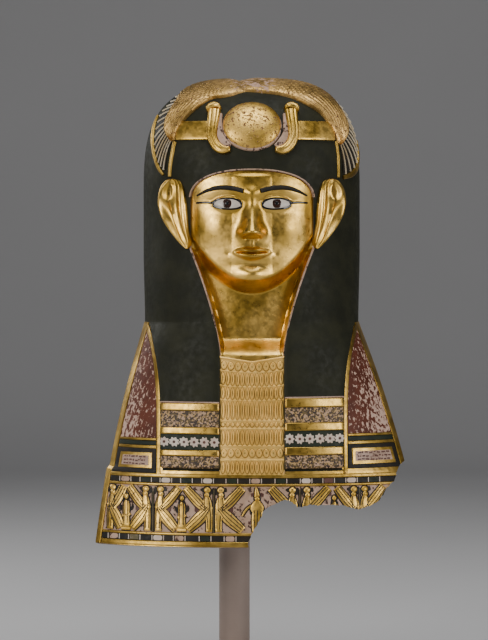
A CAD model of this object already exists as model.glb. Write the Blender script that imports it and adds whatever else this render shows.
"""The looks of a gilded and painted cartonnage mummy mask on its display post.

Everything is modelled in millimetres, with heights counted up from the apron's lower edge, and is put into
metres and lifted onto the post when it is dressed. The face looks along -Y, and +X is the viewer's right.
"""

import logging
import math
from collections.abc import Callable, Iterator, Sequence
from contextlib import contextmanager
from dataclasses import dataclass, field
from enum import Enum
from functools import cache

import bpy
import numpy as np
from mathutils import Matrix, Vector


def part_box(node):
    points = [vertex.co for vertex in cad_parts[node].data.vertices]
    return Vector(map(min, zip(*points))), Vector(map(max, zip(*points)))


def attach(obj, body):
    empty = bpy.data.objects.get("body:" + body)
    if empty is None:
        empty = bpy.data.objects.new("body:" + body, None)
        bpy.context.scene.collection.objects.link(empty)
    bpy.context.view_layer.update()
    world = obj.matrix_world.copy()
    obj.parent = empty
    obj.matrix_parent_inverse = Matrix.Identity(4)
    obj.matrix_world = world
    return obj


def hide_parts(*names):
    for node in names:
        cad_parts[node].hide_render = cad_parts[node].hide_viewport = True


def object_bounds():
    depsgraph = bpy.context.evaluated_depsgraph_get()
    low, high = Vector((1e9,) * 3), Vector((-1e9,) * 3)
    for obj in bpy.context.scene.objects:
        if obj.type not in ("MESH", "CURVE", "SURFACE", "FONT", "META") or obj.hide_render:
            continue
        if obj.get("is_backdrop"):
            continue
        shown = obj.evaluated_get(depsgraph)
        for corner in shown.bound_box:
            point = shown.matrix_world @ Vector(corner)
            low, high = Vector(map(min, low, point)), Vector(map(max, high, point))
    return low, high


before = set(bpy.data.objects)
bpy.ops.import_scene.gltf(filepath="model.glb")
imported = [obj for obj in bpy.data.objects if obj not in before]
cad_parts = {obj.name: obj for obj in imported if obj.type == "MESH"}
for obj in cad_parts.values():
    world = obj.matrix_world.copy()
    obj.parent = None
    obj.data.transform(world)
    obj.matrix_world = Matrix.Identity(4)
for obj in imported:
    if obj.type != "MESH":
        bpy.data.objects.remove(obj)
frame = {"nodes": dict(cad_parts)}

CAD_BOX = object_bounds()
MM = 0.001
LIFT = 150.0
BODY = "root"
SIDES = {-1: "left", 1: "right"}

Array = np.ndarray
Piece = bpy.types.Object
Point = tuple[float, float]
Pair = tuple[Array, Array]
Triple = tuple[Array, Array, Array]
Colour = tuple[float, float, float]
Place = Callable[[Array, Array, Array], Array]
Path = Callable[[Array], Pair]
Across = Callable[[Array, Array], Array]
Along = Callable[[Array], Array]
Spots = Callable[[Array, Array], Triple]

log = logging.getLogger("mask")


class Slot(Enum):
    """Material slots of the record."""

    CARTONNAGE = "gilded_cartonnage"
    STAND = "stand_paint"


def mix(start: Array | float, end: Array | float, share: Array | float) -> Array:
    """The value at a share of the way from start to end."""
    return start + (end - start) * share


def smooth(start: float, end: float, value: Array) -> Array:
    """An eased step from 0 at start to 1 at end."""
    share = np.clip((value - start) / (end - start), 0, 1)
    return share * share * (3 - 2 * share)


def bell(value: Array) -> Array:
    """A bell curve, 1 at 0."""
    return np.exp(-value * value)


def arc(value: Array, power: Array | float) -> Array:
    """Height of a unit superellipse, from 1 in the middle to 0 at the end."""
    return np.maximum(1 - np.clip(np.abs(value), 0, 1) ** power, 0) ** (1 / power)


def rounded(distance: Array, radius: float) -> Array:
    """A quarter-round edge: 0 at the edge and 1 from radius inwards."""
    return np.sqrt(1 - (1 - np.clip(distance / radius, 0, 1)) ** 2)


def gathered(share: Array) -> Array:
    """Shares from 0 to 1, moved closer together near both ends."""
    return 0.5 - 0.5 * np.cos(np.pi * share)


def line(start: Point, end: Point) -> Path:
    """A straight path."""
    return lambda t: (mix(start[0], end[0], t), mix(start[1], end[1], t))


def spline(points: Sequence[Point]) -> Path:
    """A smooth path through points, evenly timed.

    Args:
        points: The points, in order.

    Returns:
        The path, for shares from 0 to 1.
    """
    knots = np.array(points, float)
    last = len(knots) - 1

    def at(t: Array) -> Pair:
        """The path's point at each share."""
        place = np.clip(t, 0, 1) * last
        i = np.minimum(place.astype(int), last - 1)
        w = (place - i)[:, None]
        before, a = knots[np.maximum(i - 1, 0)], knots[i]
        b, after = knots[i + 1], knots[np.minimum(i + 2, last)]
        leave, arrive = (b - before) / 2, (after - a) / 2
        found = ((2 * a - 2 * b + leave + arrive) * w + (-3 * a + 3 * b - 2 * leave - arrive)) * w * w
        found = found + leave * w + a
        return found[:, 0], found[:, 1]

    return at


def widths(*halves: float) -> Along:
    """A half-width that runs smoothly through some values, evenly spaced."""
    path = spline([(0, half) for half in halves])
    return lambda t: path(t)[1]


def level(height: float) -> Callable[..., Array]:
    """A width or rise that is the same everywhere."""
    return lambda t, s=0.0: height + 0 * t


def domed(height: float) -> Across:
    """A rise with a round section."""
    return lambda t, s: 0.2 + height * np.sqrt(np.maximum(1 - s * s, 0))


def pillow(height: float, power: float = 4.0) -> Across:
    """A flat-topped rise with round shoulders."""
    return lambda t, s: height * arc(s, power)


def select_only(*pieces: Piece) -> None:
    """Selects some pieces alone, with the first one active."""
    bpy.ops.object.select_all(action="DESELECT")
    for piece in pieces:
        piece.select_set(True)
    bpy.context.view_layer.objects.active = pieces[0]


@contextmanager
def editing(piece: Piece) -> Iterator[None]:
    """Edit mode on one piece, with all of it selected."""
    select_only(piece)
    bpy.ops.object.mode_set(mode="EDIT")
    bpy.ops.mesh.select_all(action="SELECT")
    yield
    bpy.ops.object.mode_set(mode="OBJECT")


def corners(piece: Piece) -> Array:
    """A piece's vertex places as rows."""
    flat = np.empty(len(piece.data.vertices) * 3, np.float32)
    piece.data.vertices.foreach_get("co", flat)
    return flat.reshape(-1, 3).astype(float)


def set_corners(piece: Piece, places: Array) -> None:
    """Moves a piece's vertices to new places."""
    piece.data.vertices.foreach_set("co", np.ascontiguousarray(places, np.float32).ravel())
    piece.data.update()


def face_outwards(piece: Piece) -> None:
    """Turns a closed piece's faces outwards."""
    with editing(piece):
        bpy.ops.mesh.normals_make_consistent(inside=False)


def apply_modifier(piece: Piece, kind: str, **settings: object) -> None:
    """Adds a modifier and applies it.

    Args:
        piece: The object.
        kind: The modifier's type.
        settings: Its properties.
    """
    select_only(piece)
    modifier = piece.modifiers.new(kind.title(), kind)
    for key, value in settings.items():
        setattr(modifier, key, value)
    bpy.ops.object.modifier_apply(modifier=modifier.name)


def join(name: str, pieces: list[Piece]) -> Piece:
    """Joins pieces into one.

    Args:
        name: The new piece's name.
        pieces: At least one object.

    Returns:
        The joined object.
    """
    select_only(*pieces)
    if len(pieces) > 1:
        bpy.ops.object.join()
    pieces[0].name = pieces[0].data.name = name
    return pieces[0]


def primitive(name: str, operator: Callable[..., set], **settings: object) -> Piece:
    """Adds one of Blender's primitives, with everything else deselected.

    Args:
        name: The piece's name.
        operator: What adds it.
        settings: The operator's settings.

    Returns:
        The piece.
    """
    bpy.ops.object.select_all(action="DESELECT")
    operator(**settings)
    made = bpy.context.object
    made.name = made.data.name = name
    return made


def extrude(x: float, y: float, z: float) -> None:
    """Extrudes what is selected in edit mode."""
    bpy.ops.mesh.extrude_region_move(TRANSFORM_OT_translate={"value": (x, y, z)})


def disc(name: str, points: int, fill: str = "NGON") -> Piece:
    """A flat round face."""
    return primitive(name, bpy.ops.mesh.primitive_circle_add, vertices=points, radius=1, fill_type=fill)


def grid(name: str, columns: int, rows: int) -> Piece:
    """A flat square grid from -0.5 to 0.5."""
    operator = bpy.ops.mesh.primitive_grid_add
    return primitive(name, operator, x_subdivisions=columns, y_subdivisions=rows, size=1)


def grid_sheet(name: str, columns: int, rows: int, place: Across) -> Piece:
    """An open sheet: a flat grid bent to shape.

    Args:
        name: The piece's name.
        columns: Faces across.
        rows: Faces along.
        place: Gives the place of each (u, v), both from 0 to 1.

    Returns:
        The sheet.
    """
    sheet = grid(name, columns, rows)
    flat = corners(sheet) + 0.5
    set_corners(sheet, place(flat[:, 0], flat[:, 1]))
    return sheet


def grid_body(name: str, columns: int, rows: int, outer: Across, inner: Across) -> Piece:
    """A closed sheet: a flat grid given thickness, with its two sides bent to shape.

    Args:
        name: The piece's name.
        columns: Faces across.
        rows: Faces along.
        outer: Gives the outer side's place at each (u, v).
        inner: Gives the inner side's.

    Returns:
        The body.
    """
    thickness = 0.1
    body = grid(name, columns, rows)
    apply_modifier(body, "SOLIDIFY", thickness=thickness, offset=-1)
    flat = corners(body)
    u, v = flat[:, 0] + 0.5, flat[:, 1] + 0.5
    on_top = (flat[:, 2] > -thickness / 2)[:, None]
    set_corners(body, np.where(on_top, outer(u, v), inner(u, v)))
    face_outwards(body)
    return body


def raised_body(name: str, columns: int, rows: int, place: Place, spots: Spots, sink: float = 2.0) -> Piece:
    """A closed body that stands on a surface, with its root sunk into it.

    Args:
        name: The piece's name.
        columns: Faces across.
        rows: Faces along.
        place: The surface.
        spots: Gives the two surface coordinates and the height at each (u, v).
        sink: Depth of the root.

    Returns:
        The body.
    """

    def outer(u: Array, v: Array) -> Array:
        """The raised side."""
        return place(*spots(u, v))

    def root(u: Array, v: Array) -> Array:
        """The side in the wall."""
        a, b, _ = spots(u, v)
        return place(a, b, np.full_like(a, -sink))

    return grid_body(name, columns, rows, outer, root)


@dataclass(frozen=True)
class Ribbon:
    """A raised strip along a path on a surface."""

    place: Place
    path: Path
    half: Along
    rise: Across
    steps: int = 40
    across: int = 8
    even: bool = False

    def spots(self, u: Array, v: Array) -> Triple:
        """The surface coordinates and the height at shares across and along."""
        s = 2 * u - 1 if self.even else np.sin(np.pi * (u - 0.5))
        behind = self.path(np.clip(v - 0.01, 0, 1))
        ahead = self.path(np.clip(v + 0.01, 0, 1))
        da, db = ahead[0] - behind[0], ahead[1] - behind[1]
        reach = self.half(v) * s / np.hypot(da, db)
        a, b = self.path(v)
        return a + db * reach, b - da * reach, self.rise(v, s)

    def build(self, name: str) -> Piece:
        """Makes the strip as a closed body."""
        return raised_body(name, self.across, self.steps, self.place, self.spots)


@dataclass(frozen=True)
class Slab:
    """A low panel between two upright side curves and two levels."""

    place: Place
    left: Along
    right: Along
    low: float
    high: float
    rise: float = 0.5
    bevel: float = 0.6
    columns: int = 24
    rows: int = 16

    def spots(self, u: Array, v: Array) -> Triple:
        """The surface coordinates and the height, with the points closer together near the edges."""
        h = mix(self.low, self.high, gathered(v))
        left, right = self.left(h), self.right(h)
        x = mix(left, right, gathered(u))
        sides = np.minimum(np.abs(x - left), np.abs(right - x))
        edge = np.minimum(sides, np.minimum(h - self.low, self.high - h))
        return x, h, self.rise * rounded(edge, self.bevel)

    def build(self, name: str) -> Piece:
        """Makes the panel as a closed body."""
        return raised_body(name, self.columns, self.rows, self.place, self.spots)


@dataclass(frozen=True)
class Boss:
    """A low dome with an elliptic outline."""

    place: Place
    middle: Point
    halves: Point
    rise: float
    segments: int = 48
    rings: int = 10
    sink: float = 2.0
    fullness: float = 2.0

    def build(self, name: str) -> Piece:
        """Makes the dome from a cylinder with its top inset ring by ring."""
        body = disc(name, self.segments, "TRIFAN")
        with editing(body):
            extrude(0, 0, 1)
            for _ in range(self.rings):
                bpy.ops.mesh.inset(thickness=0.9 / self.rings, use_even_offset=False)
        flat = corners(body)
        reach = np.hypot(flat[:, 0], flat[:, 1])
        spread = np.sin(np.pi / 2 * np.clip(reach, 0, 1)) / np.maximum(reach, 1e-6)
        x, h = flat[:, 0] * spread, flat[:, 1] * spread
        dome = self.rise * arc(np.hypot(x, h), self.fullness)
        raised = np.where(flat[:, 2] > 0.5, dome, -self.sink)
        middle, halves = self.middle, self.halves
        set_corners(body, self.place(middle[0] + halves[0] * x, middle[1] + halves[1] * h, raised))
        face_outwards(body)
        return body


def plaque(outline: list[Point], rise: float, inset: float, sink: float = 2.0) -> Piece:
    """A small raised shape to copy: an outline extruded up, with its top edge drawn in.

    Args:
        outline: Points round the shape.
        rise: Height over the surface.
        inset: How far the top edge is drawn in.
        sink: Depth of its root.

    Returns:
        The template, lying flat.
    """
    body = disc("plaque", len(outline))
    set_corners(body, np.array([(x, y, -sink) for x, y in outline]))
    with editing(body):
        extrude(0, 0, sink + rise * 0.55)
        bpy.ops.mesh.inset(thickness=inset, use_even_offset=True)
        bpy.ops.transform.translate(value=(0, 0, rise * 0.45))
    face_outwards(body)
    return body


def round_outline(points: int, across: float, up: float, waves: int = 0, depth: float = 0.0) -> list:
    """Points round an ellipse, with a scalloped edge if asked.

    Args:
        points: How many.
        across: Half-width.
        up: Half-height.
        waves: Scallops round the edge.
        depth: How deep they are, as a share.

    Returns:
        The outline.
    """
    turns = [2 * math.pi * i / points for i in range(points)]
    swell = [1 - depth * (0.5 - 0.5 * math.cos(waves * a)) for a in turns]
    return [(across * r * math.cos(a), up * r * math.sin(a)) for a, r in zip(turns, swell)]


@dataclass(frozen=True)
class Spot:
    """Where one copy of a template goes on a surface."""

    x: float
    h: float
    turn: float = 0.0
    width: float = 1.0
    height: float = 1.0
    lift: float = 0.0


def stamp(name: str, template: Piece, place: Place, spots: list[Spot]) -> Piece:
    """Copies a template to each spot and bends the copies to the surface.

    Args:
        name: The joined piece's name.
        template: The small shape, which is used up.
        place: The surface.
        spots: Where the copies go.

    Returns:
        One piece of all the copies.
    """
    shape = corners(template)
    copies = []
    for spot in spots:
        copy = template.copy()
        copy.data = template.data.copy()
        bpy.context.collection.objects.link(copy)
        x, y = shape[:, 0] * spot.width, shape[:, 1] * spot.height
        c, s = math.cos(spot.turn), math.sin(spot.turn)
        places = place(spot.x + c * x - s * y, spot.h + s * x + c * y, shape[:, 2] + spot.lift)
        set_corners(copy, places)
        copies.append(copy)
    bpy.data.objects.remove(template)
    made = join(name, copies)
    face_outwards(made)
    return made


@dataclass(frozen=True)
class Section:
    """A level section of the mask's skin."""

    middle: Array
    axis: Array
    depth: Array
    edge: Array
    turn: Array
    power: Array


@dataclass(frozen=True)
class MaskForm:
    """The mask's outer skin, by its driving dimensions."""

    wall: float = 5.0
    crown: float = 472.0
    dome_base: float = 353.0
    shoulder: float = 221.0
    nape_hem: float = 110.0
    side_line: float = 3.0
    wig_half: float = 113.0
    shoulder_half: float = 111.5
    wig_front: float = 100.5
    wig_back: float = 100.0
    back_hem: float = 104.0
    back_half: float = 97.0
    fullness: float = 2.2
    ear_slimness: float = 0.3
    dome_square: float = 3.15
    dome_round: float = 2.1
    apron_half: float = 157.5
    apron_bow: float = 5.0
    apron_front: float = 137.0
    apron_depth: float = 150.0
    apron_arc: float = 0.78
    right_flare: float = 18.0
    tab_top: float = 76.0
    tab_step: float = 2.5
    face_half: float = 62.0
    hairline: float = 374.0
    arch_spring: float = 345.0
    jaw: float = 296.0
    collar_top: float = 188.0
    collar_dip: float = 5.0
    collar_half: float = 31.5
    opening_curve: float = 1.45
    face_margin: float = 6.0
    chin: float = 261.0
    third: float = 45.0
    face_depth: float = 98.0
    neck_depth: float = 78.0
    skin: float = 4.0
    lappet_end: float = 75.0
    lappet_outer_half: float = 91.0
    lappet_spread: float = 15.0
    lappet_rise: float = 4.5
    break_line: tuple[Point, ...] = (
        (-3.5, -8), (-4, 4), (-1, 12), (4.5, 21), (8.5, 29.5), (12, 36), (21, 41.5),
        (32.5, 47), (37, 45.5), (45.5, 38.5), (56.5, 41), (90.5, 40), (106.5, 35.5),
        (119, 39), (127, 43), (137, 57.5), (143, 62), (146, 70), (151, 77.5), (158, 84),
    )

    def apron_edge(self, h: Array, side: Array | float) -> Array:
        """Half-width of the apron at height h, on the viewer's left (-1) or right (1)."""
        t = np.clip(1 - h / self.shoulder, 0, 1)
        flare = np.where(np.asarray(side) > 0, self.right_flare * t, 0)
        tab = self.tab_step * smooth(self.tab_top, self.tab_top - 3, h)
        wide = mix(self.shoulder_half, self.apron_half - self.tab_step, t)
        return wide + self.apron_bow * np.sin(np.pi * t) + flare + tab

    def front_section(self, h: Array, side: Array) -> Section:
        """The front half's section at heights h, each on side -1 or 1 of the middle."""
        t = np.clip(1 - h / self.shoulder, 0, 1)
        r = np.clip((h - self.dome_base) / (self.crown - self.dome_base), 0, 1)
        power = self.fullness - self.ear_slimness * bell((h - 325) / 55)
        head = mix(self.shoulder_half, self.wig_half, smooth(self.shoulder, 300, h))
        head_axis = head * arc(r, self.dome_square)
        head_depth = self.wig_front * arc(r, self.dome_round)
        eased = t - t * np.maximum(1 - t / 0.3, 0) ** 2
        share = mix(1, self.apron_arc, eased)
        edge = self.apron_edge(h, side)
        reach = self.side_line - mix(self.wig_front, self.apron_front, t**1.3)
        above = h >= self.shoulder
        return Section(
            middle=np.where(above, self.side_line - head_depth, reach),
            axis=np.maximum(np.where(above, head_axis, edge / share), 1e-6),
            depth=np.where(above, head_depth, mix(self.wig_front, self.apron_depth, eased)),
            edge=np.where(above, head_axis, edge),
            turn=np.where(above, np.pi / 2, np.arcsin(share)),
            power=power,
        )

    def back_section(self, h: Array) -> Section:
        """The back half's section."""
        t = np.clip((self.shoulder - h) / (self.shoulder - self.nape_hem), 0, 1)
        front = self.front_section(np.maximum(h, self.shoulder), np.ones_like(h))
        r = np.clip((h - self.dome_base) / (self.crown - self.dome_base), 0, 1)
        depth = mix(self.wig_back, self.back_hem, t) * arc(r, self.dome_round)
        edge = mix(front.axis, self.back_half, t)
        turn = np.arcsin(np.clip(edge / front.axis, 0, 1))
        return Section(0 * h + self.side_line, front.axis, depth, edge, turn, front.power)

    def front_y(self, x: Array, h: Array) -> Array:
        """Depth of the front skin."""
        s = self.front_section(h, np.sign(x) + (x == 0) * -1.0)
        return s.middle + s.depth * (1 - arc(x / s.axis, s.power))

    def back_y(self, x: Array, h: Array) -> Array:
        """Depth of the back skin."""
        s = self.back_section(h)
        return s.middle + s.depth * arc(x / s.axis, s.power)

    def on_front(self, x: Array, h: Array, raised: Array) -> Array:
        """Points over the front skin, raised along its normal."""
        return raise_over(self.front_y, x, h, raised)

    def outside(self, p: Array) -> Array:
        """Whether points are outside the wig's skin, above the shoulders."""
        h = np.clip(p[:, 2], self.shoulder, self.crown)
        front = self.front_section(h, np.ones_like(h))
        depth = np.where(p[:, 1] < self.side_line, front.depth, self.back_section(h).depth)
        across = (np.abs(p[:, 0]) / front.axis) ** front.power
        along = (np.abs(p[:, 1] - self.side_line) / np.maximum(depth, 1e-6)) ** front.power
        return (p[:, 2] >= self.crown) | (across + along > 1)

    def on_crown(self, side: int) -> Place:
        """The crown's surface by angles from the dome's centre.

        Args:
            side: -1 or 1.

        Returns:
            A place function of rho, away from the front, and alpha, from the top to the side, in degrees.
        """
        centre = np.array([0, self.side_line, self.dome_base])

        def skin(rho: Array, alpha: Array) -> Array:
            """Points on the skin itself."""
            r, a = np.radians(rho), np.radians(alpha)
            way = np.stack([side * np.sin(r) * np.sin(a), -np.cos(r), np.sin(r) * np.cos(a)], 1)
            near, far = np.zeros(len(r)), np.full(len(r), 2 * self.crown)
            for _ in range(30):
                middle = (near + far) / 2
                out = self.outside(centre + way * middle[:, None])
                near, far = np.where(out, near, middle), np.where(out, middle, far)
            return centre + way * near[:, None]

        def place(rho: Array, alpha: Array, raised: Array) -> Array:
            """Points raised along the skin's normal."""
            point = skin(rho, alpha)
            across = skin(rho + 1, alpha) - skin(rho - 1, alpha)
            along = skin(rho, alpha + 1) - skin(rho, alpha - 1)
            normal = np.cross(across, along)
            normal /= np.linalg.norm(normal, axis=1)[:, None]
            flip = np.sign((normal * (point - centre)).sum(1))
            return point + normal * (flip * raised)[:, None]

        return place

    def opening_half(self, h: Array, margin: float = 0.0) -> Array:
        """Half-width of the opening in the wig at height h."""
        arch = self.hairline - self.arch_spring + margin
        above = (self.face_half + margin) * arc(np.maximum(h - self.arch_spring, 0) / arch, 2.4)
        t = np.clip((h - self.collar_top) / (self.jaw - self.collar_top), 0, 1)
        below = margin + self.collar_half + (self.face_half - self.collar_half) * t**self.opening_curve
        return np.where(h > self.arch_spring, above, below)

    def lappet_outer(self, h: Array) -> Array:
        """Half-width out to the lappets' outer edges."""
        t = np.clip((h - self.lappet_end) / (self.shoulder - self.lappet_end), 0, 1)
        return self.lappet_outer_half + self.lappet_spread * t**4

    def trim(self, piece: Piece, cutter: Piece) -> bool:
        """Cuts a piece at the old break, if it crosses it.

        Args:
            piece: The piece, in millimetres.
            cutter: The shape of what is lost.

        Returns:
            False if all of it was lost, and then it is removed.
        """
        knots, places = np.array(self.break_line, float), corners(piece)
        floor = np.interp(places[:, 0], knots[:, 0], knots[:, 1], left=-99, right=999)
        if (places[:, 2] < floor - 1).all():
            bpy.data.objects.remove(piece)
            return False
        if (places[:, 2] < floor + 2).any():
            cut(piece, cutter)
        return True

    def feature_depth(self, x: Array, h: Array) -> Array:
        """How far the face stands forward: an egg with its features laid out in thirds and eye widths."""
        side = np.abs(x)
        nose, brow = self.chin + self.third, self.chin + 2 * self.third
        eye, mouth = self.chin + 3.5 * self.third / 2, self.chin + 2 * self.third / 3
        eye_width = 2 * self.face_half / 5
        depth = self.face_depth - 43 * (1 - arc(x / 72, 2)) - 4.5 * bell((h - self.hairline - 11) / 16)
        depth += 2 * bell((h - brow - 1) / 7) * bell(x / 46)
        depth -= 5.5 * bell((side - 23) / 15) * bell((h - eye - 2) / 10)
        depth += 5.5 * np.exp(-(np.hypot((side - eye_width) / 12.5, (h - eye) / 7.2) ** 3))
        depth += 3 * bell((side - 38) / 16) * bell((h - nose - 10) / 16)
        bridge = np.clip((brow - 4 - h) / (brow - nose - 10), 0, 1)
        under = smooth(nose - 1.5, nose + 5, h)
        depth += 18 * bridge**1.1 * under * np.exp(-((side / mix(6.5, 9, bridge)) ** 2.4))
        depth += 3 * bell(x / 7.5) * bell((h - brow + 3) / 8)
        depth += 6 * bell((side - 9.5) / 4.6) * bell((h - nose - 5) / 6.5)
        depth += self.lips(x, h - mouth)
        depth += 2.5 * bell(x / 26) * bell((h - mouth) / 15)
        depth -= 2.2 * bell(x / 16) * bell((h - self.chin - 18) / 4.5)
        depth += 6 * bell(x / 15) * bell((h - self.chin - 8) / 9.5)
        jaw = self.chin - 1 + 0.0125 * x * x
        collar_front = -self.front_y(np.zeros(1), np.full(1, self.collar_top))[0] - 3
        neck_rise = (collar_front - self.neck_depth) * smooth(self.collar_top + 20, self.collar_top - 2, h)
        neck = self.neck_depth - 6 * (x / 40) ** 2 + neck_rise
        return mix(neck, depth, smooth(-11, 5, h - jaw))

    def lips(self, x: Array, up: Array) -> Array:
        """Relief of the two lips, with heights counted from the middle of the mouth."""
        half, upper, lower = 20.0, 6.6, 7.8
        taper = np.maximum(1 - (x / half) ** 2, 0) ** 0.7
        above = up - 1.3 * (x / half) ** 2
        bow = 1 - 0.2 * bell(x / 2.8)
        share = np.where(above > 0, above / (upper * bow), -above / lower) / np.maximum(taper, 0.05)
        full = np.where(above > 0, 4.4, 5.4) * np.sin(np.pi * np.clip(share, 0, 1) ** 0.62)
        return taper * (full + 1.2 - 1.6 * bell(above / 1.1))

    def face_y(self, x: Array, h: Array) -> Array:
        """Depth of the face's sheet, which tucks under the wig all round."""
        wig = -self.front_y(x, h)
        inside = np.maximum(self.opening_half(h) - np.abs(x), 0)
        free = self.feature_depth(x, h)
        held = np.clip(free, wig - self.wall + 0.8, wig - 1.6)
        bank = mix(4.5, 9, smooth(self.jaw - 25, self.jaw + 5, h))
        depth = mix(held, free, smooth(0, 1, inside / bank) * smooth(0, 6, self.hairline - 1 - h))
        return -mix(wig - 2.5, depth, smooth(0, 0.4, inside))




def raise_over(skin: Across, x: Array, h: Array, raised: Array) -> Array:
    """Points over a skin that is given by its depth.

    Args:
        skin: Depth at (x, h).
        x: Across.
        h: Height.
        raised: Distance out along the normal.

    Returns:
        Rows of places.
    """
    step = 0.5
    slope_x = (skin(x + step, h) - skin(x - step, h)) / (2 * step)
    slope_h = (skin(x, h + step) - skin(x, h - step)) / (2 * step)
    normal = np.stack([slope_x, -np.ones_like(slope_x), slope_h], 1)
    normal /= np.linalg.norm(normal, axis=1)[:, None]
    return np.stack([x, skin(x, h), h], 1) + normal * np.asarray(raised)[:, None]


class Graph:
    """One material's node tree, with short names for the nodes used here."""

    def __init__(self, name: str, roughness: float = 0.5, metallic: float = 0.0) -> None:
        """Starts a material with a plain shader."""
        self.material = bpy.data.materials.new(name)
        self.material.use_nodes = True
        self.nodes = self.material.node_tree.nodes
        self.links = self.material.node_tree.links
        self.shader = self.nodes["Principled BSDF"]
        self.set("Roughness", roughness)
        self.set("Metallic", metallic)
        self.spot = self.add("TexCoord").outputs["Object"]

    def feed(self, socket: bpy.types.NodeSocket, value: object) -> None:
        """Links a socket to another, or sets its value."""
        if isinstance(value, bpy.types.NodeSocket):
            self.links.new(value, socket)
        elif isinstance(value, tuple) and len(value) == 3 and socket.type == "RGBA":
            socket.default_value = (*value, 1.0)
        else:
            socket.default_value = value

    def set(self, name: str, value: object) -> None:
        """Sets or links an input of the shader."""
        self.feed(self.shader.inputs[name], value)

    def add(self, kind: str, inputs: dict | None = None, **settings: object) -> bpy.types.Node:
        """Adds a node.

        Args:
            kind: The node's type, after ShaderNode.
            inputs: Values or sockets for its inputs, by name or number.
            settings: Its properties.

        Returns:
            The node.
        """
        made = self.nodes.new("ShaderNode" + kind)
        for key, value in settings.items():
            setattr(made, key, value)
        for key, value in (inputs or {}).items():
            self.feed(made.inputs[key], value)
        return made

    def noise(
        self, size: float, detail: float = 3.0, rough: float = 0.55, stretch: tuple = (1, 1, 1)
    ) -> object:
        """A cloudy pattern.

        Args:
            size: Width of its clouds in millimetres.
            detail: How many finer layers it has.
            rough: How strong those are.
            stretch: How much finer it is along each axis.

        Returns:
            Its value socket.
        """
        spot = self.spot
        if stretch != (1, 1, 1):
            spot = self.add("Mapping", {"Vector": spot, "Scale": stretch}).outputs[0]
        inputs = {"Vector": spot, "Scale": 1 / (size * MM), "Detail": detail, "Roughness": rough}
        return self.add("TexNoise", inputs).outputs[0]

    def cells(self, size: float, output: str = "Distance", feature: str = "F1") -> object:
        """A pattern of cells about size millimetres wide."""
        inputs = {"Vector": self.spot, "Scale": 1 / (size * MM)}
        return self.add("TexVoronoi", inputs, feature=feature).outputs[output]

    def band(self, value: object, low: float, high: float, start: float = 0.0, end: float = 1.0) -> object:
        """An eased step from start at low to end at high."""
        inputs = {"Value": value, "From Min": low, "From Max": high, "To Min": start, "To Max": end}
        return self.add("MapRange", inputs, interpolation_type="SMOOTHSTEP").outputs[0]

    def blend(self, share: object, first: object, second: object) -> object:
        """A colour between two."""
        return self.add("Mix", {0: share, 6: first, 7: second}, data_type="RGBA").outputs[2]

    def maths(self, operation: str, first: object, second: object = 0.0) -> object:
        """A sum, product or other result of two values."""
        return self.add("Math", {0: first, 1: second}, operation=operation).outputs[0]

    def bump(self, height: object, depth: float, below: object = None) -> object:
        """Adds relief of a depth in millimetres, over other relief if given."""
        inputs = {"Height": height, "Distance": depth * MM, "Strength": 1.0}
        if below is not None:
            inputs["Normal"] = below
        return self.add("Bump", inputs).outputs[0]


@dataclass(frozen=True)
class GoldLeaf:
    """Gold leaf over red-brown bole and pink gesso, rubbed through in places."""

    name: str
    bright: Colour = (0.86, 0.555, 0.14)
    deep: Colour = (0.45, 0.275, 0.045)
    bole: Colour = (0.12, 0.045, 0.018)
    gesso: Colour = (0.46, 0.29, 0.21)
    rubbed: float = 0.30
    bared: float = 0.0
    roughness: float = 0.34
    dents: float = 0.5
    middle_wear: float = 0.0

    def material(self) -> bpy.types.Material:
        """Builds the material."""
        g = Graph(self.name)
        cloud = g.noise(38, 3)
        grain = g.noise(3.2, 6, 0.68)
        tone = g.blend(g.band(cloud, 0.36, 0.66), self.deep, self.bright)
        tone = g.blend(g.band(g.noise(9, 5, 0.7), 0.5, 0.8, 0, 0.35), tone, self.deep)
        limit = 0.83 - 0.32 * self.rubbed
        worn = g.band(g.maths("ADD", grain, g.maths("MULTIPLY", cloud, 0.16)), limit, limit + 0.07)
        low = 0.80 - 0.34 * self.bared
        bare = g.noise(6.5, 7, 0.72)
        if self.middle_wear:
            across = g.maths("ABSOLUTE", g.add("SeparateXYZ", {0: g.spot}).outputs[0])
            near = g.band(across, 0.008, 0.045, self.middle_wear, 0)
            bare = g.maths("ADD", bare, near)
        bare = g.band(bare, low, low + 0.05)
        colour = g.blend(bare, g.blend(worn, tone, self.bole), self.gesso)
        g.set("Base Color", colour)
        matt = g.maths("MAXIMUM", worn, bare)
        g.set("Metallic", g.band(matt, 0, 1, 1, 0.05))
        fine = g.band(g.noise(5, 4, 0.6), 0.3, 0.75, self.roughness - 0.05, self.roughness + 0.14)
        g.set("Roughness", g.maths("ADD", fine, g.maths("MULTIPLY", matt, 0.3)))
        dented = g.bump(g.noise(17, 3, 0.5), self.dents)
        wrinkled = g.bump(g.noise(2.6, 4, 0.6), 0.07, dented)
        g.set("Normal", g.bump(matt, -0.12, wrinkled))
        return g.material


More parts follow.
